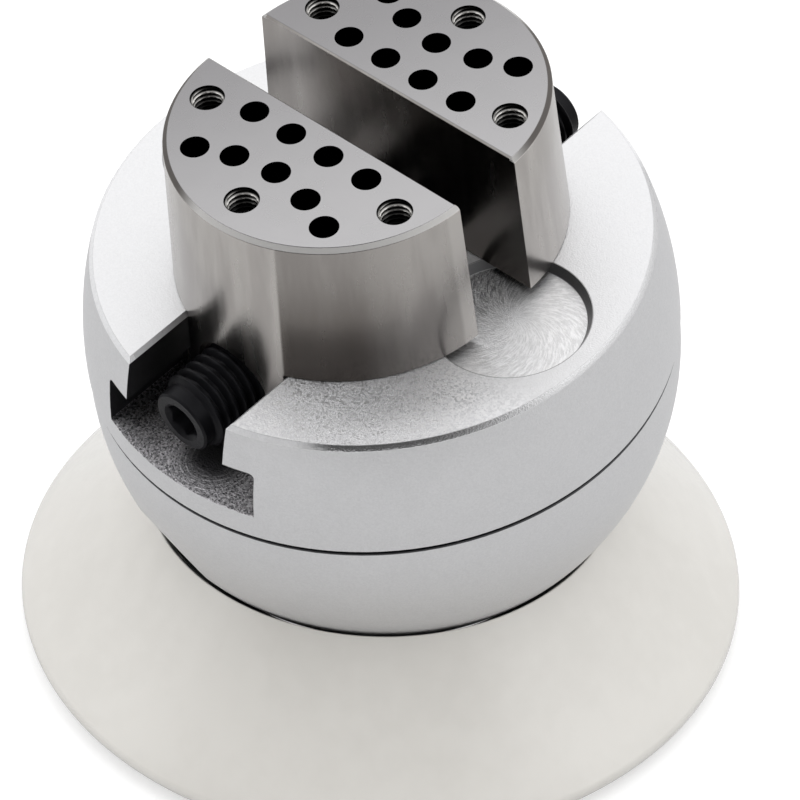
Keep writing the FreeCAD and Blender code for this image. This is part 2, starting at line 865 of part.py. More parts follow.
def near_jaw():
    """Half-round jaw with a tapered outer wall, a T-shaped foot and the thread for the screw."""
    foot_bottom = slot_floor_height + jaw_slide_clearance
    foot_top = slot_ledge_height - jaw_ledge_clearance
    neck = slot_neck_half_width - jaw_neck_clearance
    foot = slot_half_width - jaw_foot_clearance
    wide = jaw_base_radius + overrun
    body = turned(points(
        (0, foot_bottom),
        (jaw_radius_at(foot_bottom), foot_bottom),
        (jaw_radius_at(jaw_top_height - jaw_top_chamfer), jaw_top_height - jaw_top_chamfer),
        (jaw_radius_at(jaw_top_height) - jaw_top_chamfer, jaw_top_height),
        (0, jaw_top_height),
    ))
    body.translate(Vector(0, -jaw_arc_centre, 0))
    right = points((foot, foot_bottom))
    right += corner_steps(foot, foot_top, jaw_foot_corner_radius)
    right += points(
        (neck, foot_top),
        (neck, jaw_bottom),
        (wide, jaw_bottom),
        (wide, jaw_top_height + overrun),
    )
    cross_section = drawn_along_y(mirrored_steps(right), jaw_base_radius + wide)
    rear = -jaw_arc_centre - jaw_radius_at(foot_bottom) - overrun
    side_view = drawn_along_x(points(
        (-jaw_face - jaw_relief, foot_bottom - overrun),
        (-jaw_face - jaw_relief, jaw_bottom),
        (-jaw_face, jaw_bottom),
        (-jaw_face, jaw_top_height - jaw_edge_chamfer),
        (-jaw_face - jaw_edge_chamfer, jaw_top_height),
        (-jaw_face - jaw_edge_chamfer, jaw_top_height + overrun),
        (rear, jaw_top_height + overrun),
        (rear, foot_bottom - overrun),
    ), wide)
    jaw = body.common(cross_section).common(side_view)
    for hole in jaw_holes(jaw_face):
        jaw = jaw.cut(hole)
    back = Vector(0, -1, 0)
    thread = screw_radius + screw_thread_clearance
    wall = jaw_arc_centre + jaw_radius_at(screw_height)
    jaw = jaw.cut(level_cylinder(thread, 0, wall + overrun, screw_height, back))
    return jaw.cut(level_cylinder(screw_exit_radius, wall - screw_exit_depth, wall + overrun,
                                  screw_height, back))


def far_jaw():
    """The other jaw, the near one mirrored."""
    return mirrored_y(near_jaw())


def brake_screw():
    """Socket-head screw that works the brake, sunk in the ball's side."""
    seat = brake_mouth_floor + brake_head_gap
    radius = brake_thread_radius - brake_thread_clearance
    start = spindle_radius + brake_pad_gap + brake_pad_length
    outward = brake_direction()
    screw = level_cylinder(radius, start, seat, -brake_depth, outward)
    screw = screw.fuse(level_cylinder(brake_head_radius, seat, seat + brake_head_height,
                                      -brake_depth, outward))
    floor = outward * (seat + brake_head_height - brake_socket_depth) + Vector(0, 0, -brake_depth)
    socket = hexagon_prism(brake_socket_width, brake_socket_depth + overrun, floor, outward)
    return screw.cut(socket)


def brake_pad():
    """Soft plug in front of the brake screw, hollowed to fit the spindle."""
    radius = brake_thread_radius - brake_thread_clearance
    end = spindle_radius + brake_pad_gap + brake_pad_length
    plug = level_cylinder(radius, half_share * spindle_radius, end, -brake_depth, brake_direction())
    around_spindle = upright_cylinder(spindle_radius + brake_pad_gap,
                                      -brake_depth - spindle_radius, -brake_depth + spindle_radius)
    return plug.cut(around_spindle)


STANDING_PIECES = {
    "base_ring": base_ring,
    "foot_ring": foot_ring,
    "seat_ring": seat_ring,
}

LEANING_PIECES = {
    "lower_ball": lower_ball,
    "bottom_cover": bottom_cover,
    "thrust_race_lower": thrust_race_lower,
    "thrust_race_upper": thrust_race_upper,
    "thrust_cage": thrust_cage,
    "thrust_rollers": thrust_rollers,
    "spindle": spindle,
    "spindle_screws": spindle_screws,
    "spindle_washer": spindle_washer,
    "spindle_nut": spindle_nut,
    "bearing_outer_ring": bearing_outer_ring,
    "bearing_inner_ring": bearing_inner_ring,
    "bearing_cage": bearing_cage,
    "bearing_rollers": bearing_rollers,
    "bearing_circlip": bearing_circlip,
    "upper_head": upper_head,
    "screw_fork": screw_fork,
    "fork_screws": fork_screws,
    "lead_screw": lead_screw,
    "near_jaw": near_jaw,
    "far_jaw": far_jaw,
    "brake_screw": brake_screw,
    "brake_pad": brake_pad,
}


def main():
    """Write one file per piece."""
    os.makedirs("parts", exist_ok=True)
    for name, make in STANDING_PIECES.items():
        make().exportStep(f"parts/{name}.step")
    for name, make in LEANING_PIECES.items():
        placed(make()).exportStep(f"parts/{name}.step")


main()
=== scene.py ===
"""Looks of a ball vise: blasted ball and head, ground jaws, black screw and glossy cream base.

Sizes are in millimetres in the ball's own frame, which is drawn upright about the ball's centre.
BallPose turns them into metres in the row frame.
"""

import logging
import math
from dataclasses import dataclass, field
from enum import Enum

import bmesh
import bpy
import numpy as np
from mathutils import Matrix, Vector


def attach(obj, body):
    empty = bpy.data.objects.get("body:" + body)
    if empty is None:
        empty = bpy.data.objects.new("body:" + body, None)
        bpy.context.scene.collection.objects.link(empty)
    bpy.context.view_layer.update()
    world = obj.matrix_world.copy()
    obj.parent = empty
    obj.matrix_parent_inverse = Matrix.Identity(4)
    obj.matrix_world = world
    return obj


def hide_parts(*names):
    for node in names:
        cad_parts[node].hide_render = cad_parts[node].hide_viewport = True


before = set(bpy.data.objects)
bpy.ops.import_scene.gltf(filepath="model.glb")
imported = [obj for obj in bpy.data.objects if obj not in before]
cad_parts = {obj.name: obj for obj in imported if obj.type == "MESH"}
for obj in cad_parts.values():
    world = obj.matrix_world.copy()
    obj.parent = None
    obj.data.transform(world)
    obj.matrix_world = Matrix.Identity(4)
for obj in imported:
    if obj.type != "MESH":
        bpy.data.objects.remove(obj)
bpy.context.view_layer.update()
LOG = logging.getLogger("ball_vise")
MM = 0.001
TURN = 2 * math.pi
Pair = tuple[float, float]
Colour = tuple[float, float, float]
Socket = bpy.types.NodeSocket


@dataclass(frozen=True)
class BallPose:
    """How the ball stands in its base: centre height, lean angle and the azimuth of its axis."""

    height: float = 60.0
    lean: float = 9.43
    azimuth: float = 9.79

    def matrix(self) -> Matrix:
        """Rotation of the leaning ball."""
        azimuth = math.radians(self.azimuth)
        axis = Vector((math.cos(azimuth), math.sin(azimuth), 0.0))
        return Matrix.Rotation(math.radians(self.lean), 3, axis)

    def to_row(self, points: np.ndarray) -> np.ndarray:
        """Ball-frame millimetres to row-frame metres: turn, lift by the centre's height, scale.

        Args:
            points: array whose last axis holds x, y and z in millimetres.

        Returns:
            The same shape in metres.
        """
        turned = points @ np.array(self.matrix()).T
        return (turned + np.array([0.0, 0.0, self.height])) * MM

    def to_ball(self, points: np.ndarray) -> np.ndarray:
        """Row-frame metres to ball-frame millimetres, the inverse of to_row."""
        return (points / MM - np.array([0.0, 0.0, self.height])) @ np.array(self.matrix())


POSE = BallPose()


def smoothstep(low: float, high: float, value: np.ndarray) -> np.ndarray:
    """Ease from 0 at low to 1 at high: 3t squared less 2t cubed of the clipped share t."""
    share = np.clip((value - low) / (high - low), 0.0, 1.0)
    return share * share * (3.0 - 2.0 * share)


class MeshMaker:
    """Turns grids of points into closed, outward-facing, smoothly shaded mesh pieces."""

    support_share = 0.12
    merge_distance = 1e-7
    flat_distance = 1e-8
    straight = 1e-3

    @staticmethod
    def grid_faces(rows: int, columns: int, wrap_rows: bool = False) -> np.ndarray:
        """Quads of a grid that closes on itself along its columns.

        Args:
            rows: number of rings.
            columns: number of points in a ring.
            wrap_rows: whether the last ring joins the first.

        Returns:
            Array of quads, four point numbers each.
        """
        last = rows if wrap_rows else rows - 1
        row = np.arange(last)[:, None]
        column = np.arange(columns)[None, :]
        after = (row + 1) % rows
        beside = (column + 1) % columns
        corners = [row * columns + column, row * columns + beside,
                   after * columns + beside, after * columns + column]
        return np.stack([c + 0 * column for c in corners], axis=-1).reshape(-1, 4)

    @classmethod
    def build(cls, name: str, points: np.ndarray, faces: np.ndarray,
              angle: float = 35.0) -> bpy.types.Object:
        """Mesh object with doubles merged, normals outward and edges sharp past an angle.

        Args:
            name: name of the object and its mesh.
            points: points in metres, one row each.
            faces: rows of point numbers.
            angle: edges that bend more than this many degrees stay sharp.

        Returns:
            The new object.
        """
        mesh = bpy.data.meshes.new(name)
        mesh.from_pydata(points.reshape(-1, 3).tolist(), [], faces.tolist())
        work = bmesh.new()
        work.from_mesh(mesh)
        bmesh.ops.remove_doubles(work, verts=work.verts, dist=cls.merge_distance)
        bmesh.ops.dissolve_degenerate(work, dist=cls.flat_distance, edges=work.edges)
        bmesh.ops.recalc_face_normals(work, faces=work.faces)
        work.to_mesh(mesh)
        work.free()
        mesh.shade_smooth()
        mesh.set_sharp_from_angle(angle=math.radians(angle))
        piece = bpy.data.objects.new(name, mesh)
        bpy.context.scene.collection.objects.link(piece)
        return piece

    @classmethod
    def rings(cls, name: str, rings: np.ndarray, wrap: bool = False,
              angle: float = 35.0) -> bpy.types.Object:
        """Piece from a stack of rings, an array of rings by points by x, y, z in metres."""
        rows, columns = rings.shape[:2]
        return cls.build(name, rings, cls.grid_faces(rows, columns, wrap), angle)

    @classmethod
    def rounded(cls, corners: list[tuple[float, float, float]], steps: int = 6) -> np.ndarray:
        """Closed profile with each corner rounded by an arc of its own radius.

        An arc touches both sides at the radius times the tangent of half the turn from the
        corner. Short support runs beside it keep the flats flat when shaded.

        Args:
            corners: radius or x, height and rounding radius of each corner, in order.
            steps: arc parts for each corner.

        Returns:
            Points of the rounded profile.
        """
        places = np.array([c[:2] for c in corners])
        result = []
        count = len(corners)
        for index in range(count):
            here = places[index]
            into = here - places[index - 1]
            out = places[(index + 1) % count] - here
            into /= np.linalg.norm(into)
            out /= np.linalg.norm(out)
            turn = math.atan2(into[0] * out[1] - into[1] * out[0], float(into @ out))
            radius = corners[index][2]
            if radius <= 0 or abs(turn) < cls.straight:
                result.append(here[None, :])
                continue
            reach = radius * math.tan(abs(turn) / 2)
            side = np.array([-into[1], into[0]]) * math.copysign(1.0, turn)
            centre = here - into * reach + side * radius
            angles = np.linspace(0.0, turn, steps + 1)[:, None]
            spoke = -side * radius
            cross = np.array([-spoke[1], spoke[0]])
            arc = centre + np.cos(angles) * spoke + np.sin(angles) * cross
            support = cls.support_share * radius
            result.append(np.vstack([arc[:1] - into * support, arc, arc[-1:] + out * support]))
        return np.vstack(result)

    @classmethod
    def turned(cls, name: str, profile: np.ndarray, parts: int) -> bpy.types.Object:
        """Ring turned from a closed profile: x is r cos t, y is r sin t, z is the height.

        Args:
            name: name of the piece.
            profile: radii and heights in millimetres, upright in the row frame.
            parts: points around.

        Returns:
            The new object.
        """
        angles = np.linspace(0.0, TURN, parts, endpoint=False)[None, :]
        radius, height = profile[:, :1], profile[:, 1:2]
        points = np.stack([radius * np.cos(angles), radius * np.sin(angles),
                           height + 0.0 * angles], axis=-1)
        return cls.rings(name, points * MM, wrap=True)


@dataclass(frozen=True)
class CurvedWall:
    """A surface of revolution whose exact normals a skin takes, about an upright ball-frame axis.

    Its radius at height z is a circle's, where bow is set: middle radius less bow plus the root of
    bow squared less the squared rise. Otherwise it is a straight taper.
    """

    radius: float
    level: float = 0.0
    taper: float = 0.0
    bow: float = 0.0
    x: float = 0.0
    y: float = 0.0
    inward: bool = False

    def measure(self, points: np.ndarray) -> tuple[np.ndarray, np.ndarray]:
        """Distance of points from the wall and the wall's unit normals there.

        Args:
            points: ball-frame millimetres.

        Returns:
            Absolute distances, and normals in the ball frame.
        """
        flat = points[:, :2] - np.array([self.x, self.y])
        reach = np.linalg.norm(flat, axis=1)
        rise = points[:, 2] - self.level
        if self.bow:
            root = np.sqrt(np.maximum(self.bow ** 2 - rise ** 2, 1e-6))
            wall = self.radius - self.bow + root
            lift = rise / root
        else:
            wall = self.radius - self.taper * rise
            lift = np.full_like(rise, self.taper)
        spokes = flat / np.maximum(reach, 1e-9)[:, None]
        normals = np.column_stack([spokes, lift])
        normals /= np.linalg.norm(normals, axis=1)[:, None]
        return np.abs(reach - wall), -normals if self.inward else normals


class Skin:
    """A smooth-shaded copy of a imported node, with exact normals on its curved walls."""

    tolerance = 0.03
    agreement = 0.97
    sharp_angle = 28.0
    merge_distance = 2e-7

    def __init__(self, node: str, name: str, slot: str, walls: list[CurvedWall]) -> None:
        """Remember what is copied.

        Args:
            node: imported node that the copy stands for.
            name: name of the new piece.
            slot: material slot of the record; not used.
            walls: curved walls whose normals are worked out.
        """
        self.node = node
        self.name = name
        self.slot = slot
        self.walls = walls

    def make(self, body: str, material: bpy.types.Material) -> bpy.types.Object:
        """Copy, merge, shade and dress the node, and let it ride on its body.

        Args:
            body: name of the body that carries it.
            material: its finish.

        Returns:
            The new piece.
        """
        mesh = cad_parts[self.node].data.copy()
        mesh.name = self.name
        if mesh.has_custom_normals:
            mesh.attributes.remove(mesh.attributes["custom_normal"])
        mesh.materials.clear()
        mesh.materials.append(material)
        work = bmesh.new()
        work.from_mesh(mesh)
        bmesh.ops.remove_doubles(work, verts=work.verts, dist=self.merge_distance)
        work.to_mesh(mesh)
        work.free()
        mesh.shade_smooth()
        mesh.set_sharp_from_angle(angle=math.radians(self.sharp_angle))
        self.exact_normals(mesh)
        piece = bpy.data.objects.new(self.name, mesh)
        bpy.context.scene.collection.objects.link(piece)
        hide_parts(self.node)
        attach(piece, body)
        return piece

    def exact_normals(self, mesh: bpy.types.Mesh) -> None:
        """Give face corners that lie on a known wall that wall's own normal."""
        count = len(mesh.loops)
        corner_points = np.empty(count, np.int32)
        mesh.loops.foreach_get("vertex_index", corner_points)
        places = np.empty(len(mesh.vertices) * 3)
        mesh.vertices.foreach_get("co", places)
        points = POSE.to_ball(places.reshape(-1, 3))[corner_points]
        normals = np.empty(count * 3)
        mesh.corner_normals.foreach_get("vector", normals)
        normals = normals.reshape(-1, 3)
        face_normals = np.empty(len(mesh.polygons) * 3)
        mesh.polygons.foreach_get("normal", face_normals)
        totals = np.empty(len(mesh.polygons), np.int32)
        mesh.polygons.foreach_get("loop_total", totals)
        face_normals = np.repeat(face_normals.reshape(-1, 3), totals, axis=0)
        turn = np.array(POSE.matrix())
        for wall in self.walls:
            distance, exact = wall.measure(points)
            exact = exact @ turn.T
            fits = (distance < self.tolerance) & ((exact * face_normals).sum(1) > self.agreement)
            normals[fits] = exact[fits]
        mesh.normals_split_custom_set(normals.tolist())


class Wiring:
    """Short ways to add and join nodes in one tree."""

    def __init__(self, tree: bpy.types.NodeTree) -> None:
        """Work in the given tree."""
        self.tree = tree

    def node(self, kind: str, inputs: dict | None = None, **settings) -> bpy.types.Node:
        """Add a node, set its properties and its inputs.

        Args:
            kind: node type without its ShaderNode prefix.
            inputs: value or socket for each input name or number.
            settings: properties of the node.

        Returns:
            The node.
        """
        made = self.tree.nodes.new(f"ShaderNode{kind}")
        for key, value in settings.items():
            setattr(made, key, value)
        for key, value in (inputs or {}).items():
            self.feed(made.inputs[key], value)
        return made

    def feed(self, socket: Socket, value) -> None:
        """Link a socket to an output, or set its value. A colour of three parts is opaque."""
        if isinstance(value, bpy.types.NodeSocket):
            self.tree.links.new(value, socket)
        elif socket.type == "RGBA" and len(value) == 3:
            socket.default_value = (*value, 1.0)
        else:
            socket.default_value = value

    def math(self, operation: str, first, second=0.0, third=0.0, clamp: bool = False) -> Socket:
        """Result of a math node."""
        made = self.node("Math", operation=operation, use_clamp=clamp)
        for socket, value in zip(made.inputs, (first, second, third)):
            self.feed(socket, value)
        return made.outputs[0]

    def fold(self, operation: str, *values) -> Socket:
        """One math operation carried through several values in turn."""
        result = values[0]
        for value in values[1:]:
            result = self.math(operation, result, value)
        return result

    def times(self, *values) -> Socket:
        """Product of values and masks."""
        return self.fold("MULTIPLY", *values)

    def most(self, *values) -> Socket:
        """Largest of several values."""
        return self.fold("MAXIMUM", *values)

    def noise(self, vector, scale, detail: float = 2.0, roughness: float = 0.5) -> Socket:
        """Value of a noise texture."""
        made = self.node("TexNoise", {"Vector": vector, "Scale": scale, "Detail": detail,
                                      "Roughness": roughness})
        return made.outputs["Fac"]

    def ramp(self, value, low: float, high: float, out_low=0.0, out_high=1.0) -> Socket:
        """Clamped, eased change from one value to another."""
        made = self.node("MapRange", {"Value": value, "From Min": low, "From Max": high,
                                      "To Min": out_low, "To Max": out_high},
                         interpolation_type="SMOOTHSTEP")
        return made.outputs["Result"]

    def fall(self, value, low: float, high: float) -> Socket:
        """Clamped, eased change from 1 to 0."""
        return self.ramp(value, low, high, 1.0, 0.0)

    def band(self, value, low: float, high: float, soft: float = 0.06) -> Socket:
        """Mask of 1 between two values, with soft ends."""
        return self.times(self.ramp(value, low - soft, low + soft),
                          self.fall(value, high - soft, high + soft))

    def mix(self, share, first, second) -> Socket:
        """Blend of two colours."""
        return self.node("Mix", {0: share, 6: first, 7: second}, data_type="RGBA").outputs[2]

    def scaled(self, vector, factors: tuple[float, float, float]) -> Socket:
        """Vector stretched along its axes."""
        return self.node("VectorMath", {0: vector, 1: factors}, operation="MULTIPLY").outputs[0]

    def axes(self, vector) -> tuple[Socket, ...]:
        """The three parts of a vector."""
        return tuple(self.node("SeparateXYZ", {0: vector}).outputs)

    def flat(self, x, y) -> Socket:
        """Vector of two parts whose third is zero."""
        return self.node("CombineXYZ", {0: x, 1: y, 2: 0.0}).outputs[0]

    def length(self, vector) -> Socket:
        """Length of a vector."""
        return self.node("VectorMath", {0: vector}, operation="LENGTH").outputs["Value"]

    def bump(self, height, strength: float, distance: float) -> Socket:
        """Normal of a bump whose distance is in millimetres."""
        made = self.node("Bump", {"Height": height, "Strength": strength, "Distance": distance * MM})
        return made.outputs[0]

    def use(self, tree: bpy.types.NodeTree, **inputs) -> bpy.types.bpy_prop_collection:
        """Place a node group and return its outputs."""
        made = self.tree.nodes.new("ShaderNodeGroup")
        made.node_tree = tree
        for key, value in inputs.items():
            self.feed(made.inputs[key], value)
        return made.outputs


class Group:
    """A shader node group under construction: a vector and numbers go in, masks come out."""

    def __init__(self, name: str, outputs: tuple[str, ...], **defaults: float) -> None:
        """Make a group with its sockets.

        Args:
            name: name of the group.
            outputs: names of the masks that it puts out.
            defaults: default of each input beside the vector.
        """
        self.tree = bpy.data.node_groups.new(name, "ShaderNodeTree")
        self.socket("Vector", "NodeSocketVector", "INPUT")
        for key, value in defaults.items():
            self.socket(key, "NodeSocketFloat", "INPUT").default_value = value
        for key in outputs:
            self.socket(key, "NodeSocketFloat", "OUTPUT")
        self.into = self.tree.nodes.new("NodeGroupInput")
        self.out = self.tree.nodes.new("NodeGroupOutput")
        self.wiring = Wiring(self.tree)

    def socket(self, name: str, kind: str, where: str) -> bpy.types.NodeTreeInterfaceSocket:
        """Add a socket of the given type to the inputs or outputs."""
        return self.tree.interface.new_socket(name=name, in_out=where, socket_type=kind)

    def put_out(self, **masks: Socket) -> bpy.types.NodeTree:
        """Join masks to the outputs of the same names and return the finished tree."""
        for key, value in masks.items():
            self.wiring.feed(self.out.inputs[key], value)
        return self.tree


class Effects:
    """Shader node groups that several finishes share. Scales are per millimetre."""

    grain_scale = 5.5
    coarse_scale_share = 0.36
    grain_contrast = (0.34, 0.66)
    cell_share = 0.8
    fine_share = 0.65
    wander_scale = 0.25
    patch_scale = 0.5
    patch_contrast = (0.35, 0.6)
    swirl_bend = 0.085
    swirl_spread = 9.0
    swirl_drift = 0.3
    swirl_scale = 2.4
    swirl_contrast = (0.4, 0.6)
    broad_scale = 0.05
    finer_scale = 0.22
    broad_share = 0.6
    smudge_contrast = (0.35, 0.65)

    def __init__(self) -> None:
        """Build each group once."""
        self.grain = self.build_grain()
        self.mill = self.build_mill()
        self.swirl = self.build_swirl()
        self.smudge = self.build_smudge()

    def build_grain(self) -> bpy.types.NodeTree:
        """Blasted grain: cells of random brightness for the sparkle, two sizes of noise for the height."""
        group = Group("blasted_grain", ("Sparkle", "Height"), Size=1.0)
        w, place = group.wiring, group.into.outputs["Vector"]
        scale = w.math("DIVIDE", self.grain_scale, group.into.outputs["Size"])
        fine = w.noise(place, scale, detail=1.0)
        coarse = w.noise(place, w.times(scale, self.coarse_scale_share))
        cells = w.node("TexVoronoi", {"Vector": place, "Scale": scale})
        chance = w.node("SeparateColor", {0: cells.outputs["Color"]}).outputs[0]
        sparkle = w.math("ADD", w.times(chance, self.cell_share),
                         w.times(w.ramp(fine, *self.grain_contrast), 1.0 - self.cell_share))
        height = w.math("ADD", w.times(fine, self.fine_share), w.times(coarse, 1.0 - self.fine_share))
        return group.put_out(Sparkle=sparkle, Height=height)

    def build_mill(self) -> bpy.types.NodeTree:
        """Rings left where a cutter turned: bands of the distance from the vector's origin."""
        group = Group("milled_arcs", ("Lines",), Feed=0.9)
        w, place = group.wiring, group.into.outputs["Vector"]
        reach = w.math("ADD", w.length(place), w.noise(place, self.wander_scale))
        turns = w.math("DIVIDE", reach, group.into.outputs["Feed"])
        lines = w.ramp(w.math("SINE", w.times(turns, TURN)), 0.0, 1.0)
        patch = w.ramp(w.noise(place, self.patch_scale), *self.patch_contrast)
        return group.put_out(Lines=w.times(lines, patch))

    def build_swirl(self) -> bpy.types.NodeTree:
        """Curved spokes left by a turning cutter: noise of the angle plus a share of the radius."""
        group = Group("cutter_swirl", ("Lines",))
        w = group.wiring
        x, y, _ = w.axes(group.into.outputs["Vector"])
        radius = w.length(w.flat(x, y))
        bent = w.math("MULTIPLY_ADD", radius, self.swirl_bend, w.math("ARCTAN2", y, x))
        spokes = w.node("CombineXYZ", {0: w.times(w.math("COSINE", bent), self.swirl_spread),
                                       1: w.times(w.math("SINE", bent), self.swirl_spread),
                                       2: w.times(radius, self.swirl_drift)}).outputs[0]
        streaks = w.noise(spokes, self.swirl_scale, detail=3.0, roughness=0.7)
        return group.put_out(Lines=w.ramp(streaks, *self.swirl_contrast))

    def build_smudge(self) -> bpy.types.NodeTree:
        """Broad soft unevenness of handled metal: one large and one middling noise."""
        group = Group("soft_smudge", ("Amount",))
        w, place = group.wiring, group.into.outputs["Vector"]
        amount = w.math("ADD", w.times(w.noise(place, self.broad_scale), self.broad_share),
                        w.times(w.noise(place, self.finer_scale, detail=3.0), 1.0 - self.broad_share))
        return group.put_out(Amount=w.ramp(amount, *self.smudge_contrast))


class Frame(Enum):
    """Frames that a finish is measured in."""

    BALL = "ball"
    ROW = "row"


def start_material(name: str, where: Frame) -> tuple[bpy.types.Material, Wiring, bpy.types.Node, Socket]:
    """Material with its shader and a vector in millimetres.

    Args:
        name: name of the material.
        where: frame of the vector.

    Returns:
        Material, wiring, shader node and vector socket.
    """
    material = bpy.data.materials.new(name)
    material.use_nodes = True
    wiring = Wiring(material.node_tree)
    shader = material.node_tree.nodes["Principled BSDF"]
    coordinate = wiring.node("TexCoord")
    mapping = wiring.node("Mapping", {"Vector": coordinate.outputs["Object"]}, vector_type="TEXTURE")
    mapping.inputs["Scale"].default_value = (MM, MM, MM)
    if where is Frame.BALL:
        mapping.inputs["Location"].default_value = (0.0, 0.0, POSE.height * MM)
        mapping.inputs["Rotation"].default_value = POSE.matrix().to_euler("XYZ")
    return material, wiring, shader, mapping.outputs[0]


@dataclass(frozen=True)
class PlainMetal:
    """Machined metal with soft unevenness and fine lines across the upright axis."""

    name: str
    colour: Colour
    shade: Colour
    roughness: float = 0.3
    line_scale: tuple[float, float, float] = (0.4, 0.4, 9.0)
    line_contrast: Pair = (0.3, 0.7)
    spread: Pair = (-0.05, 0.06)
    bump: float = 0.03

    def make(self, effects: Effects) -> bpy.types.Material:
        """Material whose colour and roughness wander a little, with fine lines in its bump."""
        material, w, shader, place = start_material(self.name, Frame.BALL)
        smudge = w.use(effects.smudge, Vector=place)["Amount"]
        lines = w.noise(w.scaled(place, self.line_scale), 1.0)
        w.feed(shader.inputs["Base Color"], w.mix(smudge, self.shade, self.colour))
        w.feed(shader.inputs["Roughness"],
               w.ramp(lines, *self.line_contrast, *(self.roughness + part for part in self.spread)))
        w.feed(shader.inputs["Normal"], w.bump(lines, self.bump, 1.0))
        shader.inputs["Metallic"].default_value = 1.0
        return material


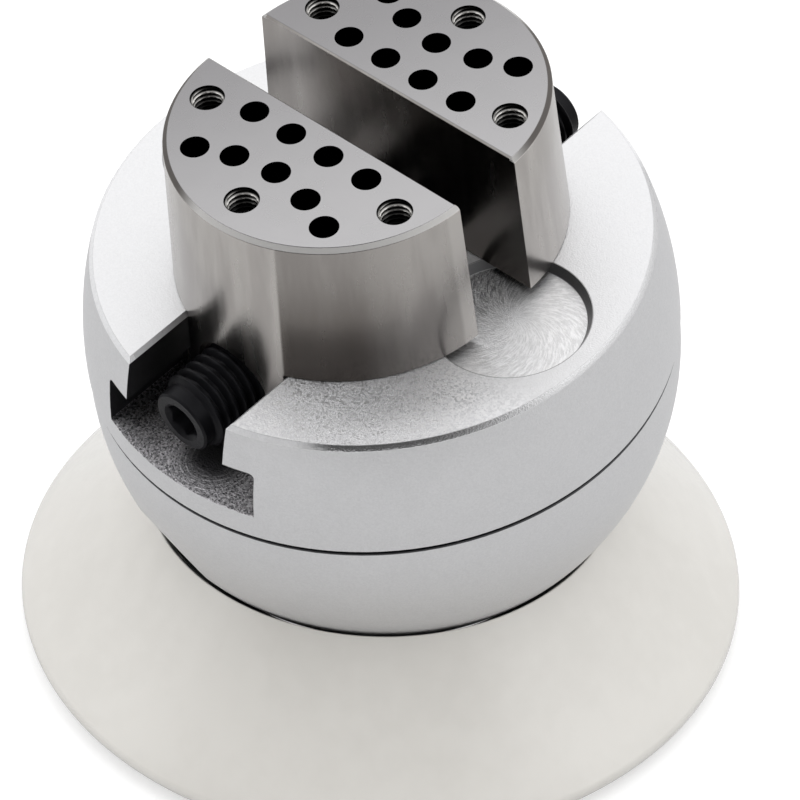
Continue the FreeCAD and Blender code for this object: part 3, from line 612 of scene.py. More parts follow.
@dataclass(frozen=True)
class BlastedHead:
    """Blasted light metal of head and ball, with milled marks on the slot's and pockets' floors and painted
    shade and highlight.

    A pair gives the two ends of a fade or a band in ball-frame millimetres, except where its name
    says centre, past or shares.
    """

    name: str = "blasted_metal"
    light: Colour = (0.68, 0.68, 0.69)
    dark: Colour = (0.30, 0.30, 0.31)
    top_light: Colour = (0.74, 0.74, 0.75)
    # Dark speck colour of the top's grain, which also carries its painted shade.
    top_dark_and_shade: Colour = (0.44, 0.44, 0.45)
    # Fresh metal colour of the coarse patch and pocket floors; on the front of the top's edge it is a
    # painted highlight.
    fresh_and_highlight: Colour = (0.95, 0.95, 0.96)
    floor_light: Colour = (0.85, 0.83, 0.86)
    # Dark of the slot floor's speckle, also the colour of the painted shade on the slot floor.
    floor_dark_and_shade: Colour = (0.04, 0.04, 0.045)
    # Painted shade colour of the slot's walls and the seam line.
    recess_shade_colour: Colour = (0.08, 0.08, 0.085)
    # Painted shade colour of the pockets' walls, the line round their rims and the pocket floors near the
    # jaws.
    pocket_shade_colour: Colour = (0.24, 0.24, 0.245)
    roughness: float = 0.46
    smudge_roughness: float = 0.05
    top_roughness: float = 0.5
    grain_smooth: float = 0.42
    grain_rough: float = 1.0
    edge_roughness: float = 0.2
    grain_size: float = 1.7
    top: float = 28.7
    top_skin: float = 0.06
    edge_drop: float = 0.84
    edge_start: Pair = (47.8, 47.85)
    # Where along x the painted highlight on the top's edge ends.
    highlight_edge_end: Pair = (22.0, 29.0)
    # Band painted as the seam's shadow line; it reaches a little below the gap onto the ball.
    seam_shade_band: Pair = (4.90, 6.13)
    seam_soft: float = 0.02
    slot_floor: float = 11.4
    floor_below: float = 0.2
    floor_above: float = 0.1
    floor_end: Pair = (17.2, 17.3)
    slot_ledge: float = 20.75
    slot_half: float = 17.2
    slot_rounding: float = 1.0
    past_rounding: Pair = (0.03, 0.1)
    rounding_soft: float = 0.05
    neck_half: float = 11.41
    neck_top: float = 27.95
    past_wall: Pair = (0.02, 0.08)
    pocket_offset: float = 31.8
    pocket_floor: float = 26.9
    pocket_edge: Pair = (12.95, 13.05)
    rim_end: Pair = (13.93, 14.03)
    # Dark line painted on the top round each pocket's rim, as the edge's shade.
    pocket_rim_shade_end: Pair = (14.01, 14.13)
    pocket_rim_shade_share: float = 0.8
    swirl_centre: Pair = (31.5, 1.27)
    cut_centre: Pair = (3.1, 44.7)
    cut_shade_end: Pair = (2.5, 9.0)
    cut_shade_share: float = 0.85
    arcs_start: Pair = (2.5, 4.5)
    arcs_end: Pair = (7.5, 10.0)
    arcs_share: float = 0.45
    # Painted shade on the pocket floors towards the jaws, which shadow them.
    gap_shade_end: Pair = (22.0, 34.0)
    gap_shade_share: float = 0.25
    streak_shares: Pair = (0.26, 0.75)
    coarse_start: Pair = (0.0, 16.0)
    coarse_end: Pair = (-20.0, -8.0)
    # Painted shade on the top's coarse patch, darker away from the edge.
    dim_reach: Pair = (40.0, 47.0)
    dim_start: Pair = (20.0, 32.0)
    dim_share: float = 0.55
    plain_sparkle: float = 0.12
    line_height: float = 0.3
    bump: float = 0.32
    bump_distance: float = 0.25

    def surfaces(self, w: Wiring, place: Socket) -> dict[str, Socket]:
        """Masks of the head's top, edge, pockets, slot floor and walls, told by place, with those of the
        painted shade and highlight.

        The fill of the slot's rounded ledge corners counts as outer surface: it lies past both
        sides of the rounding's centre and more than its radius away.
        """
        x, y, z = w.axes(place)
        side = w.math("ABSOLUTE", x)
        reach = w.length(w.flat(w.math("SUBTRACT", side, self.pocket_offset), y))
        past_low, past_high = self.past_wall
        pocket_top, floor_top = self.pocket_floor + self.floor_above, self.slot_floor + self.floor_above
        centre_x, centre_z = self.slot_half - self.slot_rounding, self.slot_ledge - self.slot_rounding
        spread = w.length(w.flat(w.math("SUBTRACT", side, centre_x), w.math("SUBTRACT", z, centre_z)))
        filled = w.times(w.ramp(spread, *(self.slot_rounding + part for part in self.past_rounding)),
                         w.ramp(side, centre_x - self.rounding_soft, centre_x),
                         w.ramp(z, centre_z - self.rounding_soft, centre_z))
        foot = w.times(w.band(z, floor_top, self.slot_ledge + self.floor_above),
                       w.fall(side, self.slot_half + past_low, self.slot_half + past_high),
                       w.math("SUBTRACT", 1.0, filled))
        neck = w.times(w.band(z, self.slot_ledge, self.neck_top),
                       w.fall(side, self.neck_half + past_low, self.neck_half + past_high))
        top = w.band(z, self.top - self.top_skin, self.top + 1.0)
        pocket = w.times(w.band(z, self.pocket_floor - self.floor_below, pocket_top),
                         w.fall(reach, *self.pocket_edge))
        edge = w.times(w.band(z, self.top - self.edge_drop, self.top - self.top_skin),
                       w.ramp(w.length(w.flat(x, y)), *self.edge_start))
        return {
            "top": top,
            "pocket": pocket,
            "flat": w.most(top, pocket),
            # Painted shade: the pockets' sloping walls.
            "rim": w.times(w.band(z, pocket_top, self.top - self.top_skin), w.fall(reach, *self.rim_end)),
            # Painted shade line round each pocket's rim.
            "ring": w.times(top, w.ramp(reach, *self.pocket_rim_shade_end, self.pocket_rim_shade_share, 0.0)),
            # Painted shade on the pocket floor near the jaws.
            "gap": w.times(w.fall(side, *self.gap_shade_end), pocket),
            "floor": w.times(w.band(z, self.slot_floor - self.floor_below, floor_top),
                             w.fall(side, *self.floor_end)),
            # Painted shade: the slot's walls and the seam band, standing in for their shadow.
            "inside": w.most(foot, neck, w.band(z, *self.seam_shade_band, self.seam_soft)),
            "edge": edge,
            # Painted highlight: the front part of the top's edge.
            "highlight_edge": w.times(edge, w.fall(x, *self.highlight_edge_end)),
        }

    def coarse_patch(self, w: Wiring, place: Socket, top: Socket) -> tuple[Socket, Socket]:
        """Mask of the top's coarsely blasted part, and a painted shade that dims it away from the edge."""
        x, y, _ = w.axes(place)
        coarse = w.times(w.ramp(x, *self.coarse_start), w.fall(y, *self.coarse_end), top)
        reach = w.length(w.flat(x, y))
        return coarse, w.times(w.fall(reach, *self.dim_reach), w.ramp(x, *self.dim_start), coarse,
                               self.dim_share)

    def cutter_marks_and_shade(self, w: Wiring, place: Socket, effects: Effects, surface: dict[str, Socket]
                     ) -> tuple[Socket, Socket, Socket]:
        """Painted shade and milled rings at the slot floor's ends, and the spokes on the pockets' floors."""
        x, y, _ = w.axes(place)
        side, along = w.math("ABSOLUTE", x), w.math("ABSOLUTE", y)
        turned = w.flat(w.math("SUBTRACT", x, self.cut_centre[0]),
                        w.math("SUBTRACT", along, self.cut_centre[1]))
        reach = w.length(turned)
        # Painted shade: a dark patch on the slot floor under the slot's corner.
        slot_floor_shade = w.times(w.ramp(reach, *self.cut_shade_end, self.cut_shade_share, 0.0), surface["floor"])
        arcs = w.times(w.use(effects.mill, Vector=turned)["Lines"], surface["floor"],
                       w.ramp(reach, *self.arcs_start), w.fall(reach, *self.arcs_end))
        centred = w.flat(w.math("SUBTRACT", side, self.swirl_centre[0]),
                         w.math("SUBTRACT", y, self.swirl_centre[1]))
        spokes = w.times(w.use(effects.swirl, Vector=centred)["Lines"], surface["pocket"])
        return slot_floor_shade, arcs, spokes

    def make(self, effects: Effects) -> bpy.types.Material:
        """Grain everywhere, stronger on the top; milled arcs and swirls where masks let them; painted shade
        and highlight.
        """
        material, w, shader, place = start_material(self.name, Frame.BALL)
        grain = w.use(effects.grain, Vector=place, Size=self.grain_size)
        sparkle = grain["Sparkle"]
        surface = self.surfaces(w, place)
        flat, floor, edge = surface["flat"], surface["floor"], surface["edge"]
        gap, highlight_edge = surface["gap"], surface["highlight_edge"]
        coarse, dim_shade = self.coarse_patch(w, place, surface["top"])
        slot_floor_shade, arcs, spokes = self.cutter_marks_and_shade(w, place, effects, surface)
        # Sparkle picks the dark speck colour; on the coarse patch the dim mask adds painted shade to it.
        speck = w.times(sparkle, w.math("ADD", dim_shade, w.ramp(floor, 0.0, 1.0, self.plain_sparkle, 1.0)))
        # Coarse patch and pocket floors take the fresh colour; the front of the top's edge takes it as a
        # painted highlight.
        bright = w.mix(w.most(coarse, surface["pocket"], highlight_edge), self.top_light, self.fresh_and_highlight)
        bright = w.mix(speck, bright, self.top_dark_and_shade)
        # Spokes are milled marks; near the jaws they and the sparkle darken more, as painted shade.
        streaks = w.times(w.most(spokes, w.times(gap, sparkle)), w.ramp(gap, 0.0, 1.0, *self.streak_shares))
        bright = w.mix(w.math("MULTIPLY_ADD", gap, self.gap_shade_share, streaks), bright, self.pocket_shade_colour)
        bright = w.mix(surface["ring"], bright, self.pocket_shade_colour)
        # The floor's speckle and its painted shade patch share the dark colour.
        milled = w.mix(w.most(speck, slot_floor_shade), self.floor_light, self.floor_dark_and_shade)
        milled = w.mix(w.times(arcs, self.arcs_share), milled, self.floor_light)
        colour = w.mix(w.most(flat, edge), w.mix(speck, self.light, self.dark), bright)
        colour = w.mix(floor, colour, milled)
        # Painted shade on the pockets' walls.
        colour = w.mix(surface["rim"], colour, self.pocket_shade_colour)
        # Painted shade: slot walls and seam line take the near-black recess colour.
        w.feed(shader.inputs["Base Color"], w.mix(surface["inside"], colour, self.recess_shade_colour))
        uneven = w.math("MULTIPLY_ADD", w.use(effects.smudge, Vector=place)["Amount"],
                        self.smudge_roughness, self.roughness)
        uneven = w.math("MULTIPLY_ADD", edge, self.edge_roughness - self.roughness, uneven)
        uneven = w.math("MULTIPLY_ADD", highlight_edge, self.top_roughness, uneven)
        grained = w.math("SUBTRACT", w.ramp(sparkle, 0.0, 1.0, self.grain_smooth, self.grain_rough),
                         self.top_roughness)
        flat_rough = w.math("MULTIPLY_ADD", grained, coarse, self.top_roughness)
        w.feed(shader.inputs["Roughness"],
               w.math("MULTIPLY_ADD", w.math("SUBTRACT", flat_rough, uneven), flat, uneven))
        height = w.math("MULTIPLY_ADD", w.math("ADD", arcs, spokes), self.line_height, grain["Height"])
        w.feed(shader.inputs["Normal"], w.bump(height, self.bump, self.bump_distance))
        shader.inputs["Metallic"].default_value = 1.0
        return material


@dataclass(frozen=True)
class GroundJaw:
    """Warm-grey ground steel of the jaws: fine turning rings on the wall, ground lines on top, painted shade
    and highlight.

    A pair gives the two ends of a fade in ball-frame millimetres, except where its name says
    contrast, spread or shares. The far corner is told by x times y.
    """

    name: str = "ground_jaw_steel"
    light: Colour = (0.46, 0.44, 0.42)
    dark: Colour = (0.37, 0.35, 0.335)
    # Painted shade colour of the walls and of the edge's far corner.
    wall_shade_colour: Colour = (0.10, 0.088, 0.08)
    # Shaded end of the painted gradient across the jaws' top.
    top_dark_and_shade: Colour = (0.22, 0.215, 0.22)
    # Lit end of the painted gradient across the jaws' top.
    top_light: Colour = (0.36, 0.355, 0.36)
    # Pale colour of the top's edge, brighter than the wall as a painted highlight.
    edge_highlight_colour: Colour = (0.68, 0.67, 0.66)
    # Near-black painted shade inside the bores and holes.
    bore_shade_colour: Colour = (0.012, 0.011, 0.010)
    roughness: float = 0.22
    edge_roughness: float = 0.7
    smudge_roughness: float = 0.04
    streak_scale: tuple[float, float, float] = (0.22, 0.22, 0.03)
    ring_scale: tuple[float, float, float] = (0.03, 0.03, 6.0)
    ground_scale: tuple[float, float, float] = (0.15, 7.0, 0.15)
    streak_contrast: Pair = (0.36, 0.64)
    rough_contrast: Pair = (0.3, 0.7)
    rough_spread: Pair = (-0.03, 0.05)
    top_start: Pair = (58.32, 58.37)
    edge_start: Pair = (57.6, 57.7)
    arc_centre: float = 5.48
    wall_start: Pair = (27.7, 27.9)
    bore_start: Pair = (7.47, 8.47)
    band_start: Pair = (11.11, 11.71)
    band_fade: Pair = (21.0, 29.0)
    band_rest: float = 0.35
    band_setback: Pair = (-10.0, -9.0)
    band_heights: Pair = (34.0, 58.4)
    band_shares: Pair = (0.95, 0.4)
    gap_setback: Pair = (6.69, 6.73)
    gap_start: Pair = (-25.0, -12.0)
    gap_heights: Pair = (30.0, 46.0)
    gap_shares: Pair = (0.95, 0.62)
    left_end: Pair = (-30.0, -14.0)
    left_share: float = 0.32
    far_corner: Pair = (120.0, 360.0)
    far_share: float = 0.9
    top_slant: float = -0.5
    top_ends: Pair = (-36.0, 36.0)
    bump: float = 0.015
    bump_distance: float = 0.2

    def shade(self, w: Wiring, place: Socket) -> Socket:
        """Painted shade on the wall: beside the slot, towards the other jaw and at the left."""
        x, y, z = w.axes(place)
        band = w.times(w.ramp(x, *self.band_start), w.ramp(x, *self.band_fade, 1.0, self.band_rest),
                       w.fall(y, *self.band_setback), w.ramp(z, *self.band_heights, *self.band_shares))
        gap = w.times(w.fall(w.math("ABSOLUTE", y), *self.gap_setback), w.ramp(x, *self.gap_start),
                      w.ramp(z, *self.gap_heights, *self.gap_shares))
        return w.most(band, gap, w.ramp(x, *self.left_end, self.left_share, 0.0))

    def make(self, effects: Effects) -> bpy.types.Material:
        """Streaks that follow the wall up and down, faint lines across, a paler top and edge, painted shade
        and highlight.
        """
        material, w, shader, place = start_material(self.name, Frame.BALL)
        x, y, z = w.axes(place)
        setback = w.math("ABSOLUTE", y)
        reach = w.length(w.flat(x, w.math("SUBTRACT", setback, self.arc_centre)))
        on_top = w.ramp(z, *self.top_start)
        on_edge = w.times(w.math("SUBTRACT", w.ramp(z, *self.edge_start), on_top),
                          w.ramp(reach, *self.wall_start))
        # Painted shade: surfaces inside the bores and holes.
        bore_shade = w.times(w.fall(reach, *self.wall_start), w.ramp(setback, *self.bore_start))
        streaks = w.noise(w.scaled(place, self.streak_scale), 1.0, detail=3.0, roughness=0.55)
        wall = w.mix(w.ramp(streaks, *self.streak_contrast), self.dark, self.light)
        # Painted shade on the wall.
        wall = w.mix(self.shade(w, place), wall, self.wall_shade_colour)
        # Painted shade on the edge where it turns away, told by x times y.
        far_corner_shade = w.ramp(w.times(x, y), *self.far_corner, 0.0, self.far_share)
        wall = w.mix(on_edge, wall, w.mix(far_corner_shade, self.edge_highlight_colour, self.wall_shade_colour))
        # Bores and holes painted near-black as their shade.
        wall = w.mix(bore_shade, wall, self.bore_shade_colour)
        # Painted shade: the top grades from a shaded to a lit end across the jaw.
        across = w.ramp(w.math("MULTIPLY_ADD", y, self.top_slant, x), *self.top_ends)
        w.feed(shader.inputs["Base Color"],
               w.mix(on_top, wall, w.mix(across, self.top_dark_and_shade, self.top_light)))
        smudge = w.use(effects.smudge, Vector=place)["Amount"]
        rough = w.math("MULTIPLY_ADD", smudge, self.smudge_roughness,
                       w.ramp(streaks, *self.rough_contrast,
                              *(self.roughness + part for part in self.rough_spread)))
        w.feed(shader.inputs["Roughness"], w.most(rough, w.times(on_edge, self.edge_roughness)))
        rings = w.noise(w.scaled(place, self.ring_scale), 1.0, detail=0.0)
        ground = w.noise(w.scaled(place, self.ground_scale), 1.0)
        lines = w.node("Mix", {0: on_top, 2: rings, 3: ground}, data_type="FLOAT").outputs[0]
        w.feed(shader.inputs["Normal"], w.bump(lines, self.bump, self.bump_distance))
        shader.inputs["Metallic"].default_value = 1.0
        return material


@dataclass(frozen=True)
class CutThread:
    """Threads in the jaws' tops: bright crests, with painted shade in the black roots and further down the
    hole.

    The holes' axes are given for one quarter of the vise, which the others mirror.
    """

    name: str = "cut_thread"
    crest: Colour = (0.80, 0.78, 0.75)
    # Painted shade colour of the thread roots and the hole's depth.
    root: Colour = (0.012, 0.012, 0.012)
    roughness: float = 0.25
    holes: tuple[Pair, ...] = ((21.4, 14.07), (0.0, 27.67))
    crest_end: Pair = (2.5, 2.9)
    lit_levels: Pair = (54.6, 57.6)
    smudged: float = 0.8
    spread: float = 0.1

    def make(self, effects: Effects) -> bpy.types.Material:
        """Crests told from roots by the distance from the nearest hole's axis; the roots and the depth are
        painted shade.
        """
        material, w, shader, place = start_material(self.name, Frame.BALL)
        x, y, z = w.axes(place)
        side, along = w.math("ABSOLUTE", x), w.math("ABSOLUTE", y)
        away = [w.length(w.flat(w.math("SUBTRACT", side, hole_x), w.math("SUBTRACT", along, hole_y)))
                for hole_x, hole_y in self.holes]
        smudge = w.use(effects.smudge, Vector=place)["Amount"]
        # Crests keep their bright colour only near the hole's mouth; below lit_levels they take the painted
        # shade.
        shine = w.times(w.fall(w.math("MINIMUM", *away), *self.crest_end), w.ramp(z, *self.lit_levels),
                        w.ramp(smudge, 0.0, 1.0, self.smudged, 1.0))
        w.feed(shader.inputs["Base Color"], w.mix(shine, self.root, self.crest))
        w.feed(shader.inputs["Roughness"],
               w.ramp(smudge, 0.0, 1.0, self.roughness, self.roughness + self.spread))
        shader.inputs["Metallic"].default_value = 1.0
        return material


@dataclass(frozen=True)
class CreamGloss:
    """Glossy cream moulding of the base, with faint waviness and tone changes."""

    name: str = "cream_gloss"
    light: Colour = (0.72, 0.70, 0.66)
    dark: Colour = (0.69, 0.67, 0.63)
    wave_scale: float = 0.035
    peel_scale: float = 0.9
    peel_height: float = 0.01
    peel_contrast: Pair = (0.3, 0.7)
    roughness: Pair = (0.2, 0.27)
    coat_roughness: float = 0.03
    bump: float = 0.1
    bump_distance: float = 2.0

    def make(self, effects: Effects) -> bpy.types.Material:
        """Coated plastic whose surface waves a little over centimetres."""
        material, w, shader, place = start_material(self.name, Frame.ROW)
        smudge = w.use(effects.smudge, Vector=place)["Amount"]
        w.feed(shader.inputs["Base Color"], w.mix(smudge, self.dark, self.light))
        peel = w.noise(place, self.peel_scale)
        waves = w.noise(place, self.wave_scale, detail=1.0)
        height = w.math("MULTIPLY_ADD", peel, self.peel_height, waves)
        w.feed(shader.inputs["Normal"], w.bump(height, self.bump, self.bump_distance))
        w.feed(shader.inputs["Roughness"], w.ramp(peel, *self.peel_contrast, *self.roughness))
        shader.inputs["Coat Weight"].default_value = 1.0
        shader.inputs["Coat Roughness"].default_value = self.coat_roughness
        return material


@dataclass(frozen=True)
class Mottled:
    """Rubber, nylon or blackened steel with a fine mottle."""

    name: str
    colour: Colour
    roughness: float
    metallic: float = 0.0
    gloss: float = 0.5
    where: Frame = Frame.BALL
    lightening: float = 1.7
    grain_size: float = 1.6
    grain_roughness: float = 0.12
    smoothest: float = -0.05
    bump: float = 0.12
    bump_distance: float = 0.2

    def make(self, effects: Effects) -> bpy.types.Material:
        """Base colour whose tone, roughness and bump follow the grain."""
        material, w, shader, place = start_material(self.name, self.where)
        grain = w.use(effects.grain, Vector=place, Size=self.grain_size)
        smudge = w.use(effects.smudge, Vector=place)["Amount"]
        lighter = tuple(self.lightening * part for part in self.colour)
        w.feed(shader.inputs["Base Color"], w.mix(smudge, self.colour, lighter))
        w.feed(shader.inputs["Roughness"],
               w.math("MULTIPLY_ADD", grain["Sparkle"], self.grain_roughness,
                      self.roughness + self.smoothest))
        w.feed(shader.inputs["Normal"], w.bump(grain["Height"], self.bump, self.bump_distance))
        shader.inputs["Metallic"].default_value = self.metallic
        shader.inputs["Specular IOR Level"].default_value = self.gloss
        return material


class Finishes:
    """All materials of the vise, each made once."""

    def __init__(self) -> None:
        """Build the shared effects and every material."""
        effects = Effects()
        self.blasted = BlastedHead().make(effects)
        self.jaw = GroundJaw().make(effects)
        self.base = CreamGloss().make(effects)
        self.black = Mottled("black_oxide", (0.006, 0.006, 0.007), roughness=0.42, metallic=0.4,
                               gloss=0.12).make(effects)
        self.rubber = Mottled("black_rubber", (0.018, 0.018, 0.018), roughness=0.65,
                                where=Frame.ROW).make(effects)
        self.nylon = Mottled("pad_nylon", (0.50, 0.48, 0.42), roughness=0.5).make(effects)
        self.machined = PlainMetal("turned_steel", (0.60, 0.60, 0.62), (0.50, 0.50, 0.52)).make(effects)
        self.brass = PlainMetal("cage_brass", (0.80, 0.62, 0.30), (0.66, 0.50, 0.24)).make(effects)
        self.bearing = PlainMetal("bearing_steel", (0.78, 0.78, 0.80), (0.70, 0.70, 0.72),
                                  roughness=0.16, bump=0.01).make(effects)
        self.thread = CutThread().make(effects)


def dress(nodes: list[str], material: bpy.types.Material) -> None:
    """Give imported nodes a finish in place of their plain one."""
    for node in nodes:
        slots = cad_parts[node].data.materials
        slots.clear()
        slots.append(material)


@dataclass
class BaseAssembly:
    """Base ring, seat ring and foot ring, turned about the upright axis of the row frame."""

    centre_height: float = 60.0
    ball_radius: float = 53.0
    lip_radius: float = 43.9
    lip_depth: float = 30.7
    face_hollow: float = 0.4
    rim_radius: float = 68.1
    rim_level: float = 3.9
    rim_rounding: float = 2.0
    rim_points: int = 14
    face_points: int = 10
    turned_parts: int = 192
    smooth_parts: int = 384
    underside_bevel: float = 3.0
    bottom: float = 0.5
    bore_radius: float = 37.2
    bore_bevel: float = 1.5
    seat_outer: float = 43.0
    seat_top: float = 33.5
    seat_bottom: float = 38.5
    gap: float = 0.3
    foot_inner: float = 51.0
    foot_outer: float = 61.0
    foot_thickness: float = 2.5
    foot_play: float = 0.1

    @staticmethod
    def sphere_radius(radius: float, depth: float) -> float:
        """Radius of a sphere about the ball's centre, a depth below it."""
        return math.sqrt(radius ** 2 - depth ** 2)

    def base_profile(self) -> np.ndarray:
        """Outline of the base: bevel, rounded rim, slightly hollow face, bowl, groove and bore.

        The face is an arc of the given hollow, drawn as a parabola over its chord from the lip to
        the point where a straight face would touch the rim's rounding.
        """
        lip_height = self.centre_height - self.lip_depth
        middle = self.rim_radius - self.rim_rounding
        run, rise = middle - self.lip_radius, lip_height - self.rim_level
        end = math.atan2(rise, -run) - math.acos(self.rim_rounding / math.hypot(run, rise))
        turns = np.linspace(-math.pi / 2, end, self.rim_points)
        rim = [(middle + self.rim_rounding * math.cos(t),
                self.rim_level + self.rim_rounding * math.sin(t), 0.0) for t in turns]
        rim.insert(0, (middle - self.underside_bevel, self.bottom, 0.5))
        edge, lip = np.array(rim[-1][:2]), np.array([self.lip_radius, lip_height])
        share = np.linspace(0.0, 1.0, self.face_points)[1:-1, None]
        inward = -np.array([math.cos(end), math.sin(end)])
        face = edge + (lip - edge) * share + inward * self.face_hollow * 4.0 * share * (1.0 - share)
        rim += [(radius, height, 0.0) for radius, height in face]
        around = math.hypot(self.lip_radius, self.lip_depth)
        shelf_depth = self.seat_top - self.gap
        groove = self.seat_outer + self.gap
        shelf = self.centre_height - shelf_depth
        floor = self.centre_height - self.seat_bottom
        corners = rim + [(self.lip_radius, lip_height, 0.25)]
        corners += [
            (self.sphere_radius(around, shelf_depth), shelf, 0.2),
            (groove, shelf, 0.0),
            (groove, floor, 0.0),
            (self.bore_radius, floor, 0.4),
            (self.bore_radius, self.bottom + self.bore_bevel, 0.4),
            (self.bore_radius + self.bore_bevel, self.bottom, 0.4),
            (self.foot_inner - self.foot_play, self.bottom, 0.2),
            (self.foot_inner - self.foot_play, self.foot_thickness, 0.0),
            (self.foot_outer + self.foot_play, self.foot_thickness, 0.0),
            (self.foot_outer + self.foot_play, self.bottom, 0.2),
        ]
        return MeshMaker.rounded(corners)

    def seat_profile(self) -> np.ndarray:
        """Outline of the seat ring, hollow towards the ball."""
        radius = self.ball_radius + self.gap
        hollow = [(self.sphere_radius(radius, depth), self.centre_height - depth, 0.0)
                  for depth in np.linspace(self.seat_top, self.seat_bottom, 9)]
        hollow[0] = (hollow[0][0], hollow[0][1], 0.3)
        corners = [(self.seat_outer, self.centre_height - self.seat_bottom, 0.4),
                   (self.seat_outer, self.centre_height - self.seat_top, 0.4)] + hollow
        return MeshMaker.rounded(corners, 4)

    def foot_profile(self) -> np.ndarray:
        """Outline of the foot ring with rounded lower edges."""
        return MeshMaker.rounded([
            (self.foot_outer, 0.0, 0.5), (self.foot_outer, self.foot_thickness, 0.2),
            (self.foot_inner, self.foot_thickness, 0.2), (self.foot_inner, 0.0, 0.5)], 5)

    def make(self, finishes: Finishes) -> list[bpy.types.Object]:
        """Build and dress the three rings."""
        plan = [
            ("base_shell", self.base_profile(), self.smooth_parts, finishes.base, "base", "base_ring",
             "base"),
            ("seat_band", self.seat_profile(), self.turned_parts, finishes.rubber, "rubber",
             "seat_ring", "seat"),
            ("foot_band", self.foot_profile(), self.turned_parts, finishes.rubber, "rubber",
             "foot_ring", "base"),
        ]
        made = []
        for name, profile, parts, material, slot, node, body in plan:
            piece = MeshMaker.turned(name, profile, parts)
            piece.data.materials.append(material)
            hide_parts(node)
            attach(piece, body)
            made.append(piece)
        return made


@dataclass
class BallAssembly:
    """Lower ball and upper head, and the pieces hidden inside them."""

    ball_radius: float = 53.0
    profile_radius: float = 72.4
    profile_level: float = 5.16
    head_height: float = 28.7
    pocket_radius: float = 13.93
    pocket_slope: float = 0.93 / 1.8
    pocket_offset: float = 31.8

    def make(self, finishes: Finishes) -> list[bpy.types.Object]:
        """Skins for the two halves, and finishes for what they hold."""
        sphere = CurvedWall(self.ball_radius, bow=self.ball_radius)
        barrel = CurvedWall(self.ball_radius, self.profile_level, bow=self.profile_radius)
        pockets = [CurvedWall(self.pocket_radius, self.head_height, -self.pocket_slope,
                              x=side * self.pocket_offset, inward=True) for side in (-1.0, 1.0)]
        lower = Skin("lower_ball", "ball_lower_half", "blasted_steel", [sphere])
        upper = Skin("upper_head", "head_upper_half", "blasted_steel", [barrel] + pockets)
        made = [lower.make("ball", finishes.blasted), upper.make("head", finishes.blasted)]
        dress(["bottom_cover"], finishes.blasted)
        dress(["screw_fork", "spindle", "spindle_washer"], finishes.machined)
        dress(["thrust_race_lower", "thrust_race_upper", "thrust_rollers", "bearing_outer_ring",
               "bearing_inner_ring", "bearing_rollers"], finishes.bearing)
        dress(["thrust_cage", "bearing_cage"], finishes.brass)
        dress(["fork_screws", "spindle_screws", "bearing_circlip", "spindle_nut", "brake_screw"],
              finishes.black)
        dress(["brake_pad"], finishes.nylon)
        return made


@dataclass
class JawPair:
    """The two half-round jaws and the threads cut in their tops."""

    top: float = 58.4
    face: float = 6.67
    arc_setback: float = 1.19
    wall_radius: float = 30.7
    wall_level: float = 28.7
    wall_top_radius: float = 28.8
    top_chamfer: float = 0.8
    thread_wall: float = 2.995
    thread_crest: float = 2.5
    thread_pitch: float = 1.0
    thread_depth: float = 13.5
    thread_start: float = 0.35
    thread_run_in: float = 0.5
    thread_steps: int = 10
    thread_flank: float = 2.4
    thread_root: float = 0.7
    sleeve: float = 0.04
    thread_places: tuple[tuple[float, float], ...] = ((-21.4, 7.4), (21.4, 7.4), (0.0, 21.0))

    def wall(self, side: float) -> list[CurvedWall]:
        """Tapered outer wall and its top chamfer, for the near jaw (-1) or the far one (1)."""
        taper = (self.wall_radius - self.wall_top_radius) / (self.top - self.wall_level)
        middle = side * (self.face - self.arc_setback)
        edge = self.wall_top_radius + taper * self.top_chamfer
        slope = 1.0 + taper
        return [
            CurvedWall(self.wall_radius, self.wall_level, taper, y=middle),
            CurvedWall(edge, self.top - self.top_chamfer, slope, y=middle),
        ]

    def thread_rings(self, x: float, y: float, parts: int = 40) -> np.ndarray:
        """Rings of one hole's thread.

        The inner radius swings between wall and crest with the phase depth over pitch less angle
        over a turn, as a flat-topped triangle wave. The rings go down the inside and back up the
        outside, so the sleeve is closed.

        Args:
            x: place of the hole across the jaw.
            y: place along the slot.
            parts: points around.

        Returns:
            Rings by points by x, y, z in metres.
        """
        angles = np.linspace(0.0, TURN, parts, endpoint=False)[None, :]
        step = self.thread_pitch / self.thread_steps
        depth = np.arange(self.thread_start, self.thread_depth, step)[:, None]
        phase = (depth / self.thread_pitch - angles / TURN) % 1.0
        wave = np.clip(self.thread_flank * np.abs(2.0 * phase - 1.0) - self.thread_root, 0.0, 1.0)
        fade = smoothstep(self.thread_start, self.thread_start + self.thread_run_in, depth)
        reach = self.thread_wall - self.sleeve
        inner = reach - (reach - self.thread_crest) * wave * fade
        outer = np.full((2, parts), self.thread_wall)
        radius = np.vstack([inner, outer])
        level = np.vstack([depth + 0.0 * angles, depth[[-1, 0]] + 0.0 * angles])
        rings = np.stack([x + radius * np.cos(angles), y + radius * np.sin(angles),
                          self.top - level], axis=-1)
        return POSE.to_row(rings)

    def threads(self, name: str, side: float) -> bpy.types.Object:
        """One piece holding the three threads of a jaw."""
        points, faces, start = [], [], 0
        for across, setback in self.thread_places:
            rings = self.thread_rings(across, side * (self.face + setback))
            rows, columns = rings.shape[:2]
            points.append(rings.reshape(-1, 3))
            faces.append(MeshMaker.grid_faces(rows, columns, True) + start)
            start += rows * columns
        return MeshMaker.build(name, np.vstack(points), np.vstack(faces), 50.0)

    def make(self, finishes: Finishes) -> list[bpy.types.Object]:
        """Skin both jaws and line their threaded holes."""
        made = []
        for word, side in (("near", -1.0), ("far", 1.0)):
            body = f"{word}_jaw"
            skin = Skin(body, f"{word}_jaw_block", "jaw_steel", self.wall(side))
            made.append(skin.make(body, finishes.jaw))
            threads = self.threads(f"{word}_jaw_threads", side)
            threads.data.materials.append(finishes.thread)
            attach(threads, body)
            made.append(threads)
        return made


